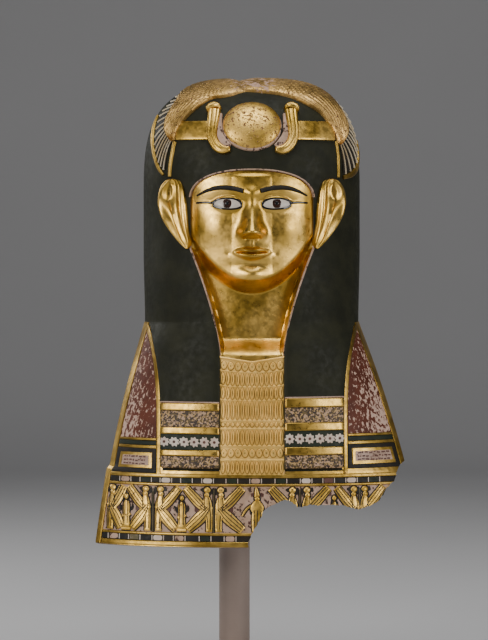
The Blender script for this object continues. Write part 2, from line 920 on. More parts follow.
@dataclass(frozen=True)
class WornPaint:
    """Paint over gesso, mottled and flaked."""

    name: str
    paint: Colour
    second: Colour
    under: Colour = (0.46, 0.31, 0.25)
    flaked: float = 0.2
    flake_size: float = 4.0
    roughness: float = 0.55
    relief: float = 0.15
    lengthwise: float = 1.0
    side_wear: float = 0.0
    sheen: float = 0.5

    def material(self) -> bpy.types.Material:
        """Builds the material."""
        g = Graph(self.name)
        tone = g.blend(g.band(g.noise(22, 4, 0.6), 0.35, 0.7), self.paint, self.second)
        stretch = (1, 1, 1 / self.lengthwise)
        flakes = g.noise(self.flake_size, 6, 0.62, stretch)
        if self.side_wear:
            across = g.maths("ABSOLUTE", g.add("SeparateXYZ", {0: g.spot}).outputs[0])
            flakes = g.maths("ADD", flakes, g.band(across, 0.105, 0.135, -self.side_wear, self.side_wear))
        low = 0.78 - 0.34 * self.flaked
        gone = g.band(flakes, low, low + 0.04)
        g.set("Base Color", g.blend(gone, tone, self.under))
        g.set("Specular IOR Level", self.sheen)
        fine = g.band(g.noise(6, 4), 0.3, 0.7, self.roughness - 0.08, self.roughness + 0.1)
        g.set("Roughness", g.maths("ADD", fine, g.maths("MULTIPLY", gone, 0.2)))
        rough = g.bump(g.noise(1.6, 4, 0.65), self.relief * 0.5)
        g.set("Normal", g.bump(gone, -self.relief, g.bump(g.noise(14, 3), self.relief * 2, rough)))
        return g.material


@dataclass(frozen=True)
class Speckle:
    """A worn band of tiny tiles, of which most have lost their colour."""

    name: str
    gesso: Colour = (0.42, 0.27, 0.165)
    dark: Colour = (0.032, 0.017, 0.008)
    olive: Colour = (0.12, 0.075, 0.02)
    gold: Colour = (0.42, 0.26, 0.10)
    size: float = 1.5

    def material(self) -> bpy.types.Material:
        """Builds the material."""
        g = Graph(self.name, roughness=0.6)
        picked = g.add("SeparateXYZ", {0: g.cells(self.size, "Color")}).outputs
        cloud = g.noise(7, 4, 0.65)
        lost = g.maths("ADD", picked[0], g.band(cloud, 0.3, 0.7, -0.28, 0.28))
        colour = g.blend(g.band(lost, 0.60, 0.66), self.dark, self.gesso)
        colour = g.blend(g.band(picked[1], 0.70, 0.74), colour, self.olive)
        colour = g.blend(g.band(picked[2], 0.80, 0.84), colour, self.gold)
        g.set("Base Color", colour)
        pits = g.bump(picked[0], 0.3)
        g.set("Normal", g.bump(g.noise(1.2, 4, 0.7), 0.12, pits))
        return g.material


@dataclass(frozen=True)
class Linen:
    """Plastered linen: the mask's inside and its broken edge."""

    name: str
    plaster: Colour = (0.40, 0.31, 0.23)
    thread: Colour = (0.20, 0.14, 0.09)
    weave: float = 1.1

    def material(self) -> bpy.types.Material:
        """Builds the material."""
        g = Graph(self.name, roughness=0.85)
        wave = {"Vector": g.spot, "Scale": 1 / (self.weave * 6.3 * MM), "Distortion": 0.6}
        wefts = g.add("TexWave", wave, bands_direction="Z").outputs[1]
        warps = g.add("TexWave", wave, bands_direction="X").outputs[1]
        woven = g.maths("MULTIPLY", wefts, warps)
        soiled = g.band(g.noise(30, 6, 0.65), 0.35, 0.7)
        tone = g.blend(soiled, self.plaster, self.thread)
        g.set("Base Color", g.blend(g.band(woven, 0.1, 0.7, 0.5, 0), tone, self.thread))
        g.set("Normal", g.bump(woven, 0.25, g.bump(g.noise(9, 5), 0.5)))
        return g.material


@dataclass(frozen=True)
class SmoothPaint:
    """A thin even paint with fine grain, for eyes and the stand."""

    name: str
    paint: Colour
    second: Colour
    roughness: float = 0.45
    grain: float = 0.04
    size: float = 8.0

    def material(self) -> bpy.types.Material:
        """Builds the material."""
        g = Graph(self.name)
        tone = g.band(g.noise(self.size, 5, 0.6), 0.35, 0.7)
        g.set("Base Color", g.blend(tone, self.paint, self.second))
        g.set("Roughness", g.band(g.noise(3, 4), 0.3, 0.7, self.roughness - 0.06, self.roughness + 0.08))
        g.set("Normal", g.bump(g.noise(0.9, 3, 0.6), self.grain))
        return g.material


BAND = (0.56, 0.36, 0.085)


class Finish(Enum):
    """Every finish on the object."""

    BURNISHED = GoldLeaf("burnished_gold", rubbed=0.16, roughness=0.32, dents=0.3)
    LEAF = GoldLeaf("gold_leaf")
    DULL_LEAF = GoldLeaf("dull_gold_leaf", BAND, (0.27, 0.165, 0.03), rubbed=0.4, roughness=0.4)
    FIGURE_LEAF = GoldLeaf("figure_gold_leaf", rubbed=0.5, bared=0.2, roughness=0.42, dents=0.3)
    MATT_LEAF = GoldLeaf(
        "matt_gold_leaf", (1.0, 0.67, 0.21), (0.76, 0.48, 0.12), rubbed=0.3, bared=0.1, roughness=0.5
    )
    SHADOW_LEAF = GoldLeaf(
        "shadow_gold_leaf", (0.34, 0.20, 0.05), (0.20, 0.11, 0.03), rubbed=0.5, roughness=0.55
    )
    BAND_LEAF = GoldLeaf("band_gold_leaf", BAND, (0.38, 0.235, 0.045), rubbed=0.3, roughness=0.3, dents=0.25)
    DISC_LEAF = GoldLeaf("disc_gold_leaf", rubbed=0.64, bared=0.25, roughness=0.4, dents=0.3)
    CROWN_LEAF = GoldLeaf(
        "crown_gold_leaf", (0.72, 0.46, 0.16), (0.40, 0.25, 0.075),
        rubbed=0.56, bared=0.4, middle_wear=0.16, roughness=0.42, dents=0.7,
    )
    WIG = WornPaint("wig_paint", (0.0135, 0.0143, 0.0078), (0.0215, 0.0218, 0.011), flaked=0.02, sheen=0.15)
    RED = WornPaint(
        "red_paint", (0.075, 0.018, 0.008), (0.115, 0.028, 0.013), (0.52, 0.35, 0.27),
        flaked=0.82, flake_size=2.9, lengthwise=1.7, side_wear=0.06, sheen=0.25,
    )
    GREEN = WornPaint("green_paint", (0.008, 0.014, 0.008), (0.018, 0.024, 0.011), sheen=0.25)
    BLACK = WornPaint(
        "black_paint", (0.008, 0.007, 0.005), (0.02, 0.014, 0.008), (0.10, 0.05, 0.03), flaked=0.3, sheen=0.25
    )
    OLIVE = WornPaint("olive_paint", (0.07, 0.062, 0.018), (0.12, 0.085, 0.03), flaked=0.4)
    MAROON = WornPaint("maroon_paint", (0.055, 0.015, 0.009), (0.09, 0.028, 0.016), flaked=0.4)
    PINK = WornPaint(
        "pink_gesso", (0.46, 0.31, 0.24), (0.33, 0.21, 0.15), (0.09, 0.045, 0.028), flaked=0.5, flake_size=2.4
    )
    FRIEZE_GESSO = WornPaint(
        "frieze_gesso", (0.44, 0.29, 0.21), (0.30, 0.19, 0.12), (0.05, 0.02, 0.012),
        flaked=0.66, flake_size=4.5,
    )
    WHITE = WornPaint("white_paint", (0.62, 0.53, 0.44), (0.50, 0.38, 0.30), flaked=0.3)
    FEATHER = WornPaint(
        "feather_paint", (0.70, 0.62, 0.47), (0.56, 0.43, 0.24), (0.22, 0.14, 0.06),
        flaked=0.35, flake_size=2.2,
    )
    SPECKLE = Speckle("speckled_inlay")
    LINEN = Linen("plastered_linen")
    EYE_WHITE = SmoothPaint("eye_white", (0.58, 0.54, 0.48), (0.50, 0.44, 0.37), 0.3, 0.02)
    IRIS = SmoothPaint("eye_brown", (0.035, 0.012, 0.006), (0.02, 0.008, 0.005), 0.16, 0.01)
    PUPIL = SmoothPaint("eye_black", (0.004, 0.004, 0.004), (0.008, 0.008, 0.009), 0.12, 0.01)
    STAND = SmoothPaint("stand_paint", (0.30, 0.233, 0.197), (0.275, 0.212, 0.18), 0.5, 0.05, 40)


@cache
def material_of(finish: Finish) -> bpy.types.Material:
    """A finish's material, built when it is first asked for."""
    return finish.value.material()


def dress(
    piece: Piece, finish: Finish | None = None, slot: Slot = Slot.CARTONNAGE, angle: float = 40.0
) -> Piece:
    """Puts a finished piece in its place and gives it its finish.

    Args:
        piece: The piece, in millimetres.
        finish: Its finish, or None for a piece that already has its materials.
        slot: The record's slot.
        angle: Edges sharper than this stay sharp, in degrees.

    Returns:
        The piece.
    """
    set_corners(piece, (corners(piece) + (0, 0, LIFT)) * MM)
    if finish:
        piece.data.materials.clear()
        piece.data.materials.append(material_of(finish))
    select_only(piece)
    bpy.ops.object.shade_smooth_by_angle(angle=math.radians(angle))
    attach(piece, BODY)
    return piece


def cut(piece: Piece, cutter: Piece) -> None:
    """Takes a cutter's shape out of a piece."""
    settings = {"operation": "DIFFERENCE", "solver": "EXACT", "material_mode": "TRANSFER"}
    apply_modifier(piece, "BOOLEAN", object=cutter, **settings)


@dataclass
class WigShell:
    """The one hollow body of linen and gesso, with its opening for the face and its old break."""

    form: MaskForm
    columns: int = 112
    back_columns: int = 80
    dome_rows: int = 36
    head_rows: int = 34
    apron_rows: int = 66
    nape_rows: int = 30
    clear: float = 60.0
    rag: float = 0.7
    rag_step: float = 2.2

    def heights(self, lower: float, rows: int) -> Array:
        """Row heights from the crown down, shared by the front and the back above the shoulders.

        Args:
            lower: The lowest row.
            rows: Rows below the shoulders.

        Returns:
            The heights.
        """
        form = self.form
        dome = mix(form.dome_base, form.crown, np.cos(np.linspace(0, np.pi / 2, self.dome_rows + 1)))
        head = np.linspace(form.dome_base, form.shoulder, self.head_rows + 1)[1:]
        flap = np.linspace(form.shoulder, lower, rows + 1)[1:]
        return np.concatenate([dome, head, flap])

    def half(self, name: str, front: bool) -> Piece:
        """The front or back skin as an open sheet."""
        form = self.form
        heights = self.heights(0, self.apron_rows) if front else self.heights(form.nape_hem, self.nape_rows)
        columns = self.columns if front else self.back_columns

        def place(u: Array, v: Array) -> Array:
            """A point of the skin, with v up from the lower edge."""
            h = heights[np.rint((1 - v) * (len(heights) - 1)).astype(int)]
            c = 2 * u - 1
            if not front:
                c = -c
            s = form.front_section(h, np.where(c < 0, -1, 1)) if front else form.back_section(h)
            x = np.sign(c) * s.edge * np.sin(np.abs(c) * s.turn) / np.sin(np.maximum(s.turn, 1e-6))
            return np.stack([x, form.front_y(x, h) if front else form.back_y(x, h), h], 1)

        return grid_sheet(name, columns, len(heights) - 1, place)

    def prism(self, name: str, outline: Array, start: float, end: float) -> Piece:
        """A cutter: an (x, h) outline run from one depth to another.

        Args:
            name: The cutter's name.
            outline: Rows of (x, h).
            start: The nearer depth.
            end: The further depth.

        Returns:
            The cutter.
        """
        cutter = disc(name, len(outline))
        set_corners(cutter, np.stack([outline[:, 0], np.full(len(outline), start), outline[:, 1]], 1))
        with editing(cutter):
            extrude(0, end - start, 0)
        face_outwards(cutter)
        cutter.data.materials.append(material_of(Finish.LINEN))
        return cutter

    def opening_cutter(self) -> Piece:
        """The cutter for the face opening."""
        form = self.form
        low = np.linspace(form.collar_top, form.jaw, 40)
        arch = mix(form.arch_spring, form.hairline, np.sin(np.linspace(0, np.pi / 2 - 0.02, 40)))
        h = np.concatenate([low, arch])
        x = form.opening_half(h)
        dip = np.linspace(-1, 1, 17)[1:-1]
        under = np.stack([dip * form.collar_half, form.collar_top - form.collar_dip * (1 - np.abs(dip))], 1)
        outline = np.concatenate([under, np.stack([x, h], 1), np.stack([-x, h], 1)[::-1]])
        end = form.side_line - form.wig_front / 2
        return self.prism("face_opening", outline, -form.wig_front - self.clear, end)

    def break_cutter(self) -> Piece:
        """The ragged cutter for the old break."""
        form = self.form
        luck = np.random.default_rng(7)
        knots = np.array(form.break_line, float)
        run = np.concatenate([[0], np.cumsum(np.hypot(*np.diff(knots, axis=0).T))])
        steps = np.arange(0, run[-1], self.rag_step)
        ragged = np.stack([np.interp(steps, run, knots[:, 0]), np.interp(steps, run, knots[:, 1])], 1)
        ragged += luck.uniform(-self.rag, self.rag, ragged.shape)
        far = form.apron_half + form.right_flare + self.clear
        rest = [(far, knots[-1, 1]), (far, -self.clear), (knots[0, 0], -self.clear)]
        outline = np.concatenate([ragged, rest])
        end = form.side_line
        return self.prism("old_break", outline, end - form.apron_front - self.clear, end)

    def build(self) -> list[Piece]:
        """Makes the shell."""
        form = self.form
        shell = join("wig_shell", [self.half("front", True), self.half("back", False)])
        with editing(shell):
            bpy.ops.mesh.remove_doubles(threshold=0.02)
            bpy.ops.mesh.normals_make_consistent(inside=False)
        for finish in (Finish.WIG, Finish.LINEN, Finish.LEAF):
            shell.data.materials.append(material_of(finish))
        inside = {"material_offset": 1, "material_offset_rim": 1}
        apply_modifier(shell, "SOLIDIFY", thickness=form.wall, offset=-1, **inside)
        for cutter in (self.opening_cutter(), self.break_cutter()):
            cut(shell, cutter)
            bpy.data.objects.remove(cutter)
        for face in shell.data.polygons:
            x, _, h = face.center
            beyond = abs(x) > float(form.lappet_outer(np.array([h]))[0]) - 2 or h < form.lappet_end
            if face.material_index == 0 and face.normal.y < 0.2 and h < form.shoulder - 2 and beyond:
                face.material_index = 2
        dress(shell, angle=35)
        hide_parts("mask")
        return [shell]


@dataclass
class Face:
    """The gilded face and neck, with inlaid eyes, painted brows and the ears."""

    form: MaskForm
    columns: int = 132
    rows: int = 236
    eye_half: float = 13.6
    upper_lid: float = 5.6
    lower_lid: float = 3.9
    iris_radius: float = 5.3
    pupil_radius: float = 2.5
    ear_top: float = 367.0
    ear_half: float = 13.0

    @property
    def eye_middle(self) -> Point:
        """The right eye's middle, one eye's width out from the face's."""
        return 2 * self.form.face_half / 5, self.form.chin + 3.5 * self.form.third / 2

    def lids(self, across: Array) -> Pair:
        """Heights of the lower and upper lid, from the inner corner at -1 to the outer at 1."""
        upper = self.upper_lid * arc(across, 1.9) * (1 - 0.12 * across)
        return 0.7 * across - self.lower_lid * arc(across, 2.0), 0.7 * across + upper

    def skin(self, x: Array, h: Array) -> Array:
        """Depth of the face with its fine modelling: lid folds, nostrils, the groove of the upper lip."""
        form = self.form
        middle_x, middle_h = self.eye_middle
        across = np.clip((np.abs(x) - middle_x) / self.eye_half, -1, 1)
        lower, upper = self.lids(across)
        beyond = np.maximum(np.abs(np.abs(x) - middle_x) - self.eye_half, 0)
        lid = 0.9 * bell((h - middle_h - upper - 1.4) / 1.1) * bell(beyond / 2)
        lid += 0.7 * bell((h - middle_h - lower + 1.3) / 1.0) * bell(beyond / 2)
        lid -= 0.8 * bell((h - middle_h - upper - 4.4) / 1.2) * bell(beyond / 4)
        nose = form.chin + form.third
        mouth = form.chin + 2 * form.third / 3
        groove = -0.7 * bell(x / 2.2) * bell((h - mouth - 10) / 4.5)
        wing = -1.5 * bell((np.abs(x) - 5.6) / 2.6) * bell((h - nose + 0.2) / 1.6)
        corner = -0.8 * bell((np.abs(x) - 23.5) / 2.4) * bell((h - mouth) / 2.2)
        return form.face_y(x, h) - lid - groove - wing - corner

    def over(self, x: Array, h: Array, raised: Array) -> Array:
        """Points over the modelled face."""
        return raise_over(self.skin, x, h, raised)

    def sheet(self) -> Piece:
        """The face and neck as one thin closed sheet."""
        form = self.form
        low, high = form.collar_top - 10, form.hairline + 5.5

        def spots(u: Array, v: Array) -> Triple:
            """Across, height and thickness at a grid point."""
            s = 2 * u - 1
            h = mix(low, high, v)
            x = s * (0.72 + 0.28 * s * s) * form.opening_half(h, form.face_margin)
            inside = np.maximum(form.opening_half(h) - np.abs(x), 0)
            return x, h, mix(1.6, form.skin, smooth(0, 6, inside))

        def outer(u: Array, v: Array) -> Array:
            """The gilded side."""
            x, h, _ = spots(u, v)
            return np.stack([x, self.skin(x, h), h], 1)

        def inner(u: Array, v: Array) -> Array:
            """The linen side."""
            x, h, thickness = spots(u, v)
            return np.stack([x, form.face_y(x, h) + thickness, h], 1)

        return grid_body("face", self.columns, self.rows, outer, inner)

    def eye(self, side: int) -> list[Piece]:
        """One eye: white, iris, pupil, and the dark line round it that runs on to the temple.

        Args:
            side: -1 or 1.

        Returns:
            Its pieces.
        """
        middle_x, middle_h = self.eye_middle
        label = SIDES[side]

        def almond(grow: float, rise: float, raised: float) -> Across:
            """The place function of an almond patch, domed by rise."""

            def at(u: Array, v: Array) -> Array:
                """A point of the patch."""
                across = 0.985 * np.sin(np.pi * (u - 0.5))
                lower, upper = self.lids(across)
                x = side * (middle_x + across * (self.eye_half + grow))
                up = mix(lower - grow, upper + grow, v)
                return self.over(x, middle_h + up, raised + rise * arc(across, 2) * arc(2 * v - 1, 2))

            return at

        def held(x: Array, h: Array, raised: Array) -> Array:
            """The eye's surface, held between the lids."""
            across = np.clip((side * x - middle_x) / self.eye_half, -1, 1)
            lower, upper = self.lids(across)
            return self.over(x, np.clip(h, middle_h + lower + 0.2, middle_h + upper - 0.2), raised)

        pieces = []
        for name, rows, grow, rise, raised, finish in (
            ("eye_line_", 10, 1.5, 0.1, 0.25, Finish.PUPIL),
            ("eye_", 12, 0.0, 0.5, 0.5, Finish.EYE_WHITE),
        ):
            body = grid_body(name + label, 28, rows, almond(grow, rise, raised), almond(grow, rise, -1.5))
            pieces.append(dress(body, finish))
        tail = [(middle_x + self.eye_half - 1.5, 1.2), (middle_x + 21, 2.4), (56, 2.2)]
        path = spline([(side * x, middle_h + up) for x, up in tail])
        ribbon = Ribbon(self.over, path, lambda t: 1.5 - 0.5 * t, domed(0.5), 20, 6)
        pieces.append(dress(ribbon.build("eye_tail_" + label), Finish.PUPIL))
        for name, radius, rise, finish in (
            ("iris_", self.iris_radius, 1.3, Finish.IRIS),
            ("pupil_", self.pupil_radius, 1.6, Finish.PUPIL),
        ):
            boss = Boss(held, (side * middle_x, middle_h + 0.9), (radius, radius), rise, 32, 5, 0.8, 3.0)
            pieces.append(dress(boss.build(name + label), finish))
        return pieces

    def brow(self, side: int) -> Piece:
        """One raised brow, painted dark."""
        brow = self.form.chin + 2 * self.form.third + 1.5
        arch = [(8.5, 0.5), (20, 3.6), (34, 4.2), (46, 1.2), (55, -3.2)]
        path = spline([(side * x, brow + up) for x, up in arch])
        ribbon = Ribbon(self.over, path, widths(2.3, 2.5, 2.0, 0.8), domed(1.3), 40, 8)
        return dress(ribbon.build("brow_" + SIDES[side]), Finish.BLACK)

    def ear(self, side: int) -> Piece:
        """One ear: a slanting leaf with a rolled rim, an inner fold and a hollow."""
        form = self.form
        slant = [(18, 0.0), (17, 0.31), (11, 0.66), (1.5, 1.0)]
        path = [(side * (form.face_half + out), mix(self.ear_top, form.jaw, t)) for out, t in slant]

        def half(t: Array) -> Array:
            """Half-width along the ear."""
            leaf = np.sin(np.pi * t**0.72) ** 0.75
            return 0.8 + self.ear_half * np.nan_to_num(leaf) * mix(1, 0.75, t)

        def rise(t: Array, s: Array) -> Array:
            """Height of the rim, the fold and the hollow."""
            out = s * side * -1
            swell = np.sin(np.pi * np.clip(t, 0.06, 0.94))
            rim = 3 + 6 * swell * (0.36 + 0.64 * bell((np.abs(s) - 0.8) / 0.2))
            fold = 3.0 * bell((out + 0.22 - 0.35 * t) / 0.14) * bell((t - 0.45) / 0.3)
            fold += 1.8 * bell((np.hypot(out - 0.1, (t - 0.2) * 3) - 0.45) / 0.14)
            hollow = -3.0 * bell((out - 0.3) / 0.26) * bell((t - 0.55) / 0.2)
            lobe = 1.4 * bell(s / 0.6) * bell((t - 0.86) / 0.1)
            edge = -2.5 * smooth(0.9, 1.0, np.abs(s))
            return rim + fold + hollow + lobe + edge

        ribbon = Ribbon(form.on_front, spline(path), half, rise, 60, 28)
        return dress(ribbon.build("ear_" + SIDES[side]), Finish.BURNISHED)

    def edging(self) -> Piece:
        """The line of bared gesso where the wig meets the forehead and the neck."""
        form = self.form
        wide, high, power = form.face_half + 0.9, form.hairline - form.arch_spring + 0.9, 1 / 1.2

        def arch(t: Array) -> Pair:
            """The line over the forehead."""
            turn = np.pi * mix(0.02, 0.98, t)
            across, up = np.cos(turn), np.sin(turn)
            return wide * np.sign(across) * np.abs(across) ** power, form.arch_spring + high * up**power

        def beside(side: int) -> Path:
            """The line down one side of the neck and the collar."""

            def at(t: Array) -> Pair:
                """A point of it."""
                h = mix(form.jaw + 4, 72, t)
                return side * (form.opening_half(np.maximum(h, form.collar_top)) + 0.5), h

            return at

        lines = [Ribbon(form.on_front, arch, level(0.75), domed(0.5), 120, 6)]
        lines += [Ribbon(form.on_front, beside(side), level(0.55), domed(0.3), 120, 4) for side in SIDES]
        return dress(join("gesso_edging", [each.build("edging") for each in lines]), Finish.FRIEZE_GESSO)

    def build(self) -> list[Piece]:
        """Makes the face and all that is on it."""
        pieces = [dress(self.sheet(), Finish.BURNISHED, angle=60), self.edging()]
        for side in SIDES:
            pieces += [*self.eye(side), self.brow(side), self.ear(side)]
        return pieces


@dataclass
class Crest:
    """The sun disc between two cobras, on a gold headband."""

    form: MaskForm
    disc_height: float = 420.0
    disc_half: Point = (29.6, 24.8)
    disc_rise: float = 8.0
    band_height: float = 415.5
    band_half: float = 9.7
    band_ends: Point = (76.0, 83.0)
    band_rise: float = 2.2
    cobra_rise: float = 4.8
    cobra_lean: float = 1.6

    def cobra(self, side: int) -> list[Piece]:
        """One cobra: a grooved body that turns in under the disc, its head, and the gesso bed beside it.

        Args:
            side: -1 or 1.

        Returns:
            Its pieces.
        """
        form, label = self.form, SIDES[side]

        def at(points: list[Point]) -> Path:
            """A path beside the disc, from distances out and up from its middle."""
            lean = self.cobra_lean if side > 0 else 0
            return spline([(side * (x + lean), self.disc_height + up) for x, up in points])

        bends = [(37.6, 15.5), (38.4, 7), (39.6, -4), (39.4, -13), (35.3, -21.3), (29, -25.4), (21.5, -25.0)]
        brow = [(31.2, 17.2), (36.5, 19.6), (41.5, 18.4), (45.2, 14.6)]
        bed = [(31.2, 12), (32.4, 2), (32.6, -9), (29, -17), (22, -22)]

        def ridged(t: Array, s: Array) -> Array:
            """A dome with two grooves along it."""
            grooves = 0.7 * (bell((s - 0.42) / 0.09) + bell((s + 0.42) / 0.09)) * smooth(0.9, 0.6, t)
            return 0.2 + self.cobra_rise * arc(s, 3.4) * rounded(1.02 - t, 0.08) - grooves

        def crowned(t: Array, s: Array) -> Array:
            """The head's flat dome."""
            return 0.2 + (self.cobra_rise + 2.2) * arc(s, 2.6) * rounded(np.minimum(t, 1 - t) + 0.02, 0.2)

        on = form.on_front
        hood = Ribbon(on, at(bends), widths(6.6, 6.2, 5.6, 5.3, 5.1, 4.5, 2.4), ridged, 60, 24)
        head = Ribbon(on, at(brow), widths(1.8, 3.0, 2.8, 1.1), crowned, 24, 12)
        filling = Ribbon(on, at(bed), widths(1.6, 2.6, 3.8, 4.8, 2.6), pillow(2.6), 30, 8)
        return [
            dress(join("cobra_" + label, [hood.build("hood"), head.build("head")]), Finish.LEAF),
            dress(filling.build("cobra_bed_" + label), Finish.FRIEZE_GESSO),
        ]

    def band(self, side: int) -> Piece:
        """One half of the headband."""
        near, far = side * (self.disc_half[0] + 8), side * self.band_ends[side > 0]
        path = line((near, self.band_height - 0.6), (far, self.band_height + 0.4))
        ribbon = Ribbon(self.form.on_front, path, level(self.band_half), pillow(self.band_rise, 8), 40, 16)
        return dress(ribbon.build("headband_" + SIDES[side]), Finish.LEAF)

    def build(self) -> list[Piece]:
        """Makes the crest."""
        form, middle = self.form, (0.0, self.disc_height)
        rim_half = (self.disc_half[0] + 0.6, self.disc_half[1] + 0.9)
        rim = Boss(form.on_front, (0.0, self.disc_height - 0.9), rim_half, 2.2, 72, 6, fullness=5.0)
        disc = Boss(form.on_front, middle, self.disc_half, self.disc_rise, 72, 16)
        pieces = [
            dress(rim.build("sun_disc_rim"), Finish.FRIEZE_GESSO),
            dress(disc.build("sun_disc"), Finish.DISC_LEAF),
        ]
        for side in SIDES:
            pieces += [*self.cobra(side), self.band(side)]
        return pieces


@dataclass
class Wing:
    """One of the winged beetle's wings, which lie over the crown and hang to the temples.

    Its lines are lists of angles on the crown: away from the front, and from the top to the side.
    """

    form: MaskForm
    side: int
    coverts: tuple
    halves: tuple
    roots: tuple
    tips: tuple
    outer: tuple
    outer_half: tuple
    inner: tuple
    inner_half: float
    covert_rise: float = 5.5
    feather_rise: float = 1.7
    feathers: int = 18

    def covert(self) -> Piece:
        """The rounded shoulder of the wing: rows of small scales that turn into long grooves."""

        def rise(t: Array, s: Array) -> Array:
            """A flat dome with its scales and grooves, which sinks at the middle of the crown."""
            rows, files = t * 42, s * 4.5
            shift = np.floor(rows) % 2 * 0.5
            scale = (rows % 1) ** 0.7 * np.abs(np.cos(np.pi * (files + shift)))
            grooves = 0.5 + 0.5 * np.cos(2 * np.pi * (files + 2.2 * t))
            long = smooth(0.45, 0.65, t - 0.1 * s)
            texture = mix(0.65 * scale * smooth(0.05, 0.35, t), 0.9 * grooves, long)
            full = self.covert_rise * smooth(0, 0.15, t + 0.03)
            edge = arc(s, 4) * rounded(1.01 - t, 0.1)
            return 0.25 + full * edge + (texture - 0.8) * arc(s, 6) * smooth(0, 0.1, t)

        place = self.form.on_crown(self.side)
        ribbon = Ribbon(place, spline(self.coverts), widths(*self.halves), rise, 300, 48, even=True)
        return dress(ribbon.build("wing_shoulder_" + SIDES[self.side]), Finish.CROWN_LEAF)

    def feather_bed(self) -> Piece:
        """The dark ground between the flight feathers."""
        roots, tips = spline(self.roots), spline(self.tips)

        def spots(u: Array, v: Array) -> Triple:
            """A point of the ground."""
            (a, b), (c, d) = roots(v), tips(v)
            u = mix(-0.08, 0.96, u)
            return mix(a, c, u), mix(b, d, u), np.full_like(u, 0.6)

        name = "feather_bed_" + SIDES[self.side]
        return dress(raised_body(name, 16, 60, self.form.on_crown(self.side), spots), Finish.BLACK)

    def blade(self, path: Path, half: float) -> Ribbon:
        """One slim feather, which widens towards its tip."""
        place = self.form.on_crown(self.side)
        return Ribbon(place, path, lambda t: half * (0.7 + 0.5 * t), domed(self.feather_rise), 14, 6)

    def flight(self) -> Piece:
        """The long flight feathers."""
        roots, tips = spline(self.roots), spline(self.tips)
        made = []
        for i in range(self.feathers):
            t = np.array([(i + 0.3) / self.feathers])
            (a, b), (c, d) = roots(t), tips(t)
            start, end = (float(a[0]), float(b[0])), (float(c[0]), float(d[0]))
            path = line((mix(start[0], end[0], -0.1), mix(start[1], end[1], -0.1)), end)
            blade = self.blade(path, 0.19 + 0.11 * i / self.feathers)
            made.append(blade.build("blade"))
        return dress(join("flight_feathers_" + SIDES[self.side], made), Finish.FEATHER)

    def borders(self) -> Piece:
        """The gold borders down the wing's outer and inner sides."""
        place = self.form.on_crown(self.side)
        rise = pillow(self.feather_rise + 0.4, 3)
        outer = Ribbon(place, spline(self.outer), widths(*self.outer_half), rise, 60, 10)
        inner = Ribbon(place, spline(self.inner), level(self.inner_half), rise, 40, 8)
        made = [outer.build("outer"), inner.build("inner")]
        return dress(join("wing_borders_" + SIDES[self.side], made), Finish.DULL_LEAF)

    def build(self) -> list[Piece]:
        """Makes the wing."""
        return [part() for part in (self.covert, self.feather_bed, self.flight, self.borders)]


def both_wings(form: MaskForm) -> list[Wing]:
    """The two wings, which are not quite alike."""
    left = Wing(
        form, -1,
        coverts=((77, 4), (75, 15), (72.5, 25), (66.5, 35), (63.5, 43), (60.5, 50), (54.8, 56.3)),
        halves=(12, 14.5, 12.3, 8, 6.3, 4.8, 1.4),
        roots=(
            (80, 22), (77, 29), (73.7, 33), (72, 38.4), (70, 42.5), (66.5, 48), (63.7, 50.5), (61, 52.5),
            (58, 54.5), (56, 56.5),
        ),
        tips=(
            (87, 25), (81, 32), (80, 37), (77, 43), (76.5, 48.5), (72.8, 54.5), (68.6, 62), (64, 68),
            (59.5, 73), (54.8, 75.6),
        ),
        outer=(
            (79.5, 49.5), (77.2, 54.5), (73.6, 59.7), (69.3, 64.6), (65.4, 69.2), (61.0, 74.2), (56.0, 78.2)
        ),
        outer_half=(0.7, 1.1, 1.15, 1.1, 1.0, 1.1, 0.8),
        inner=((53.9, 56.3), (52.4, 63.1), (51.7, 68.8), (51, 78.6)),
        inner_half=1.0,
    )
    right = Wing(
        form, 1,
        coverts=((77, -8), (76.3, 7), (75.5, 21), (72, 33), (69, 43.5), (66, 52), (59.3, 60.3)),
        halves=(12, 13.5, 13.2, 11, 8, 6.6, 1.4),
        roots=(
            (88, 18), (85, 27), (81, 34), (78.5, 40), (76, 45), (73.5, 50), (70, 54.5), (66.5, 57.3),
            (62.5, 59.3), (60, 61),
        ),
        tips=(
            (94, 20), (91, 30), (86.5, 38), (84, 45), (82, 52.5), (81.5, 59), (80, 66), (76, 72), (67, 76.4),
            (58.2, 78.5),
        ),
        outer=((82.5, 62), (81.6, 67.5), (78, 72.8), (72.5, 76.6), (66, 78.9), (58.2, 80)),
        outer_half=(0.6, 0.9, 1.3, 1.7, 1.6, 1.2),
        inner=((58.4, 58.3), (56.8, 65.5), (55.3, 72), (54.4, 79.5)),
        inner_half=0.8,
    )
    return [left, right]


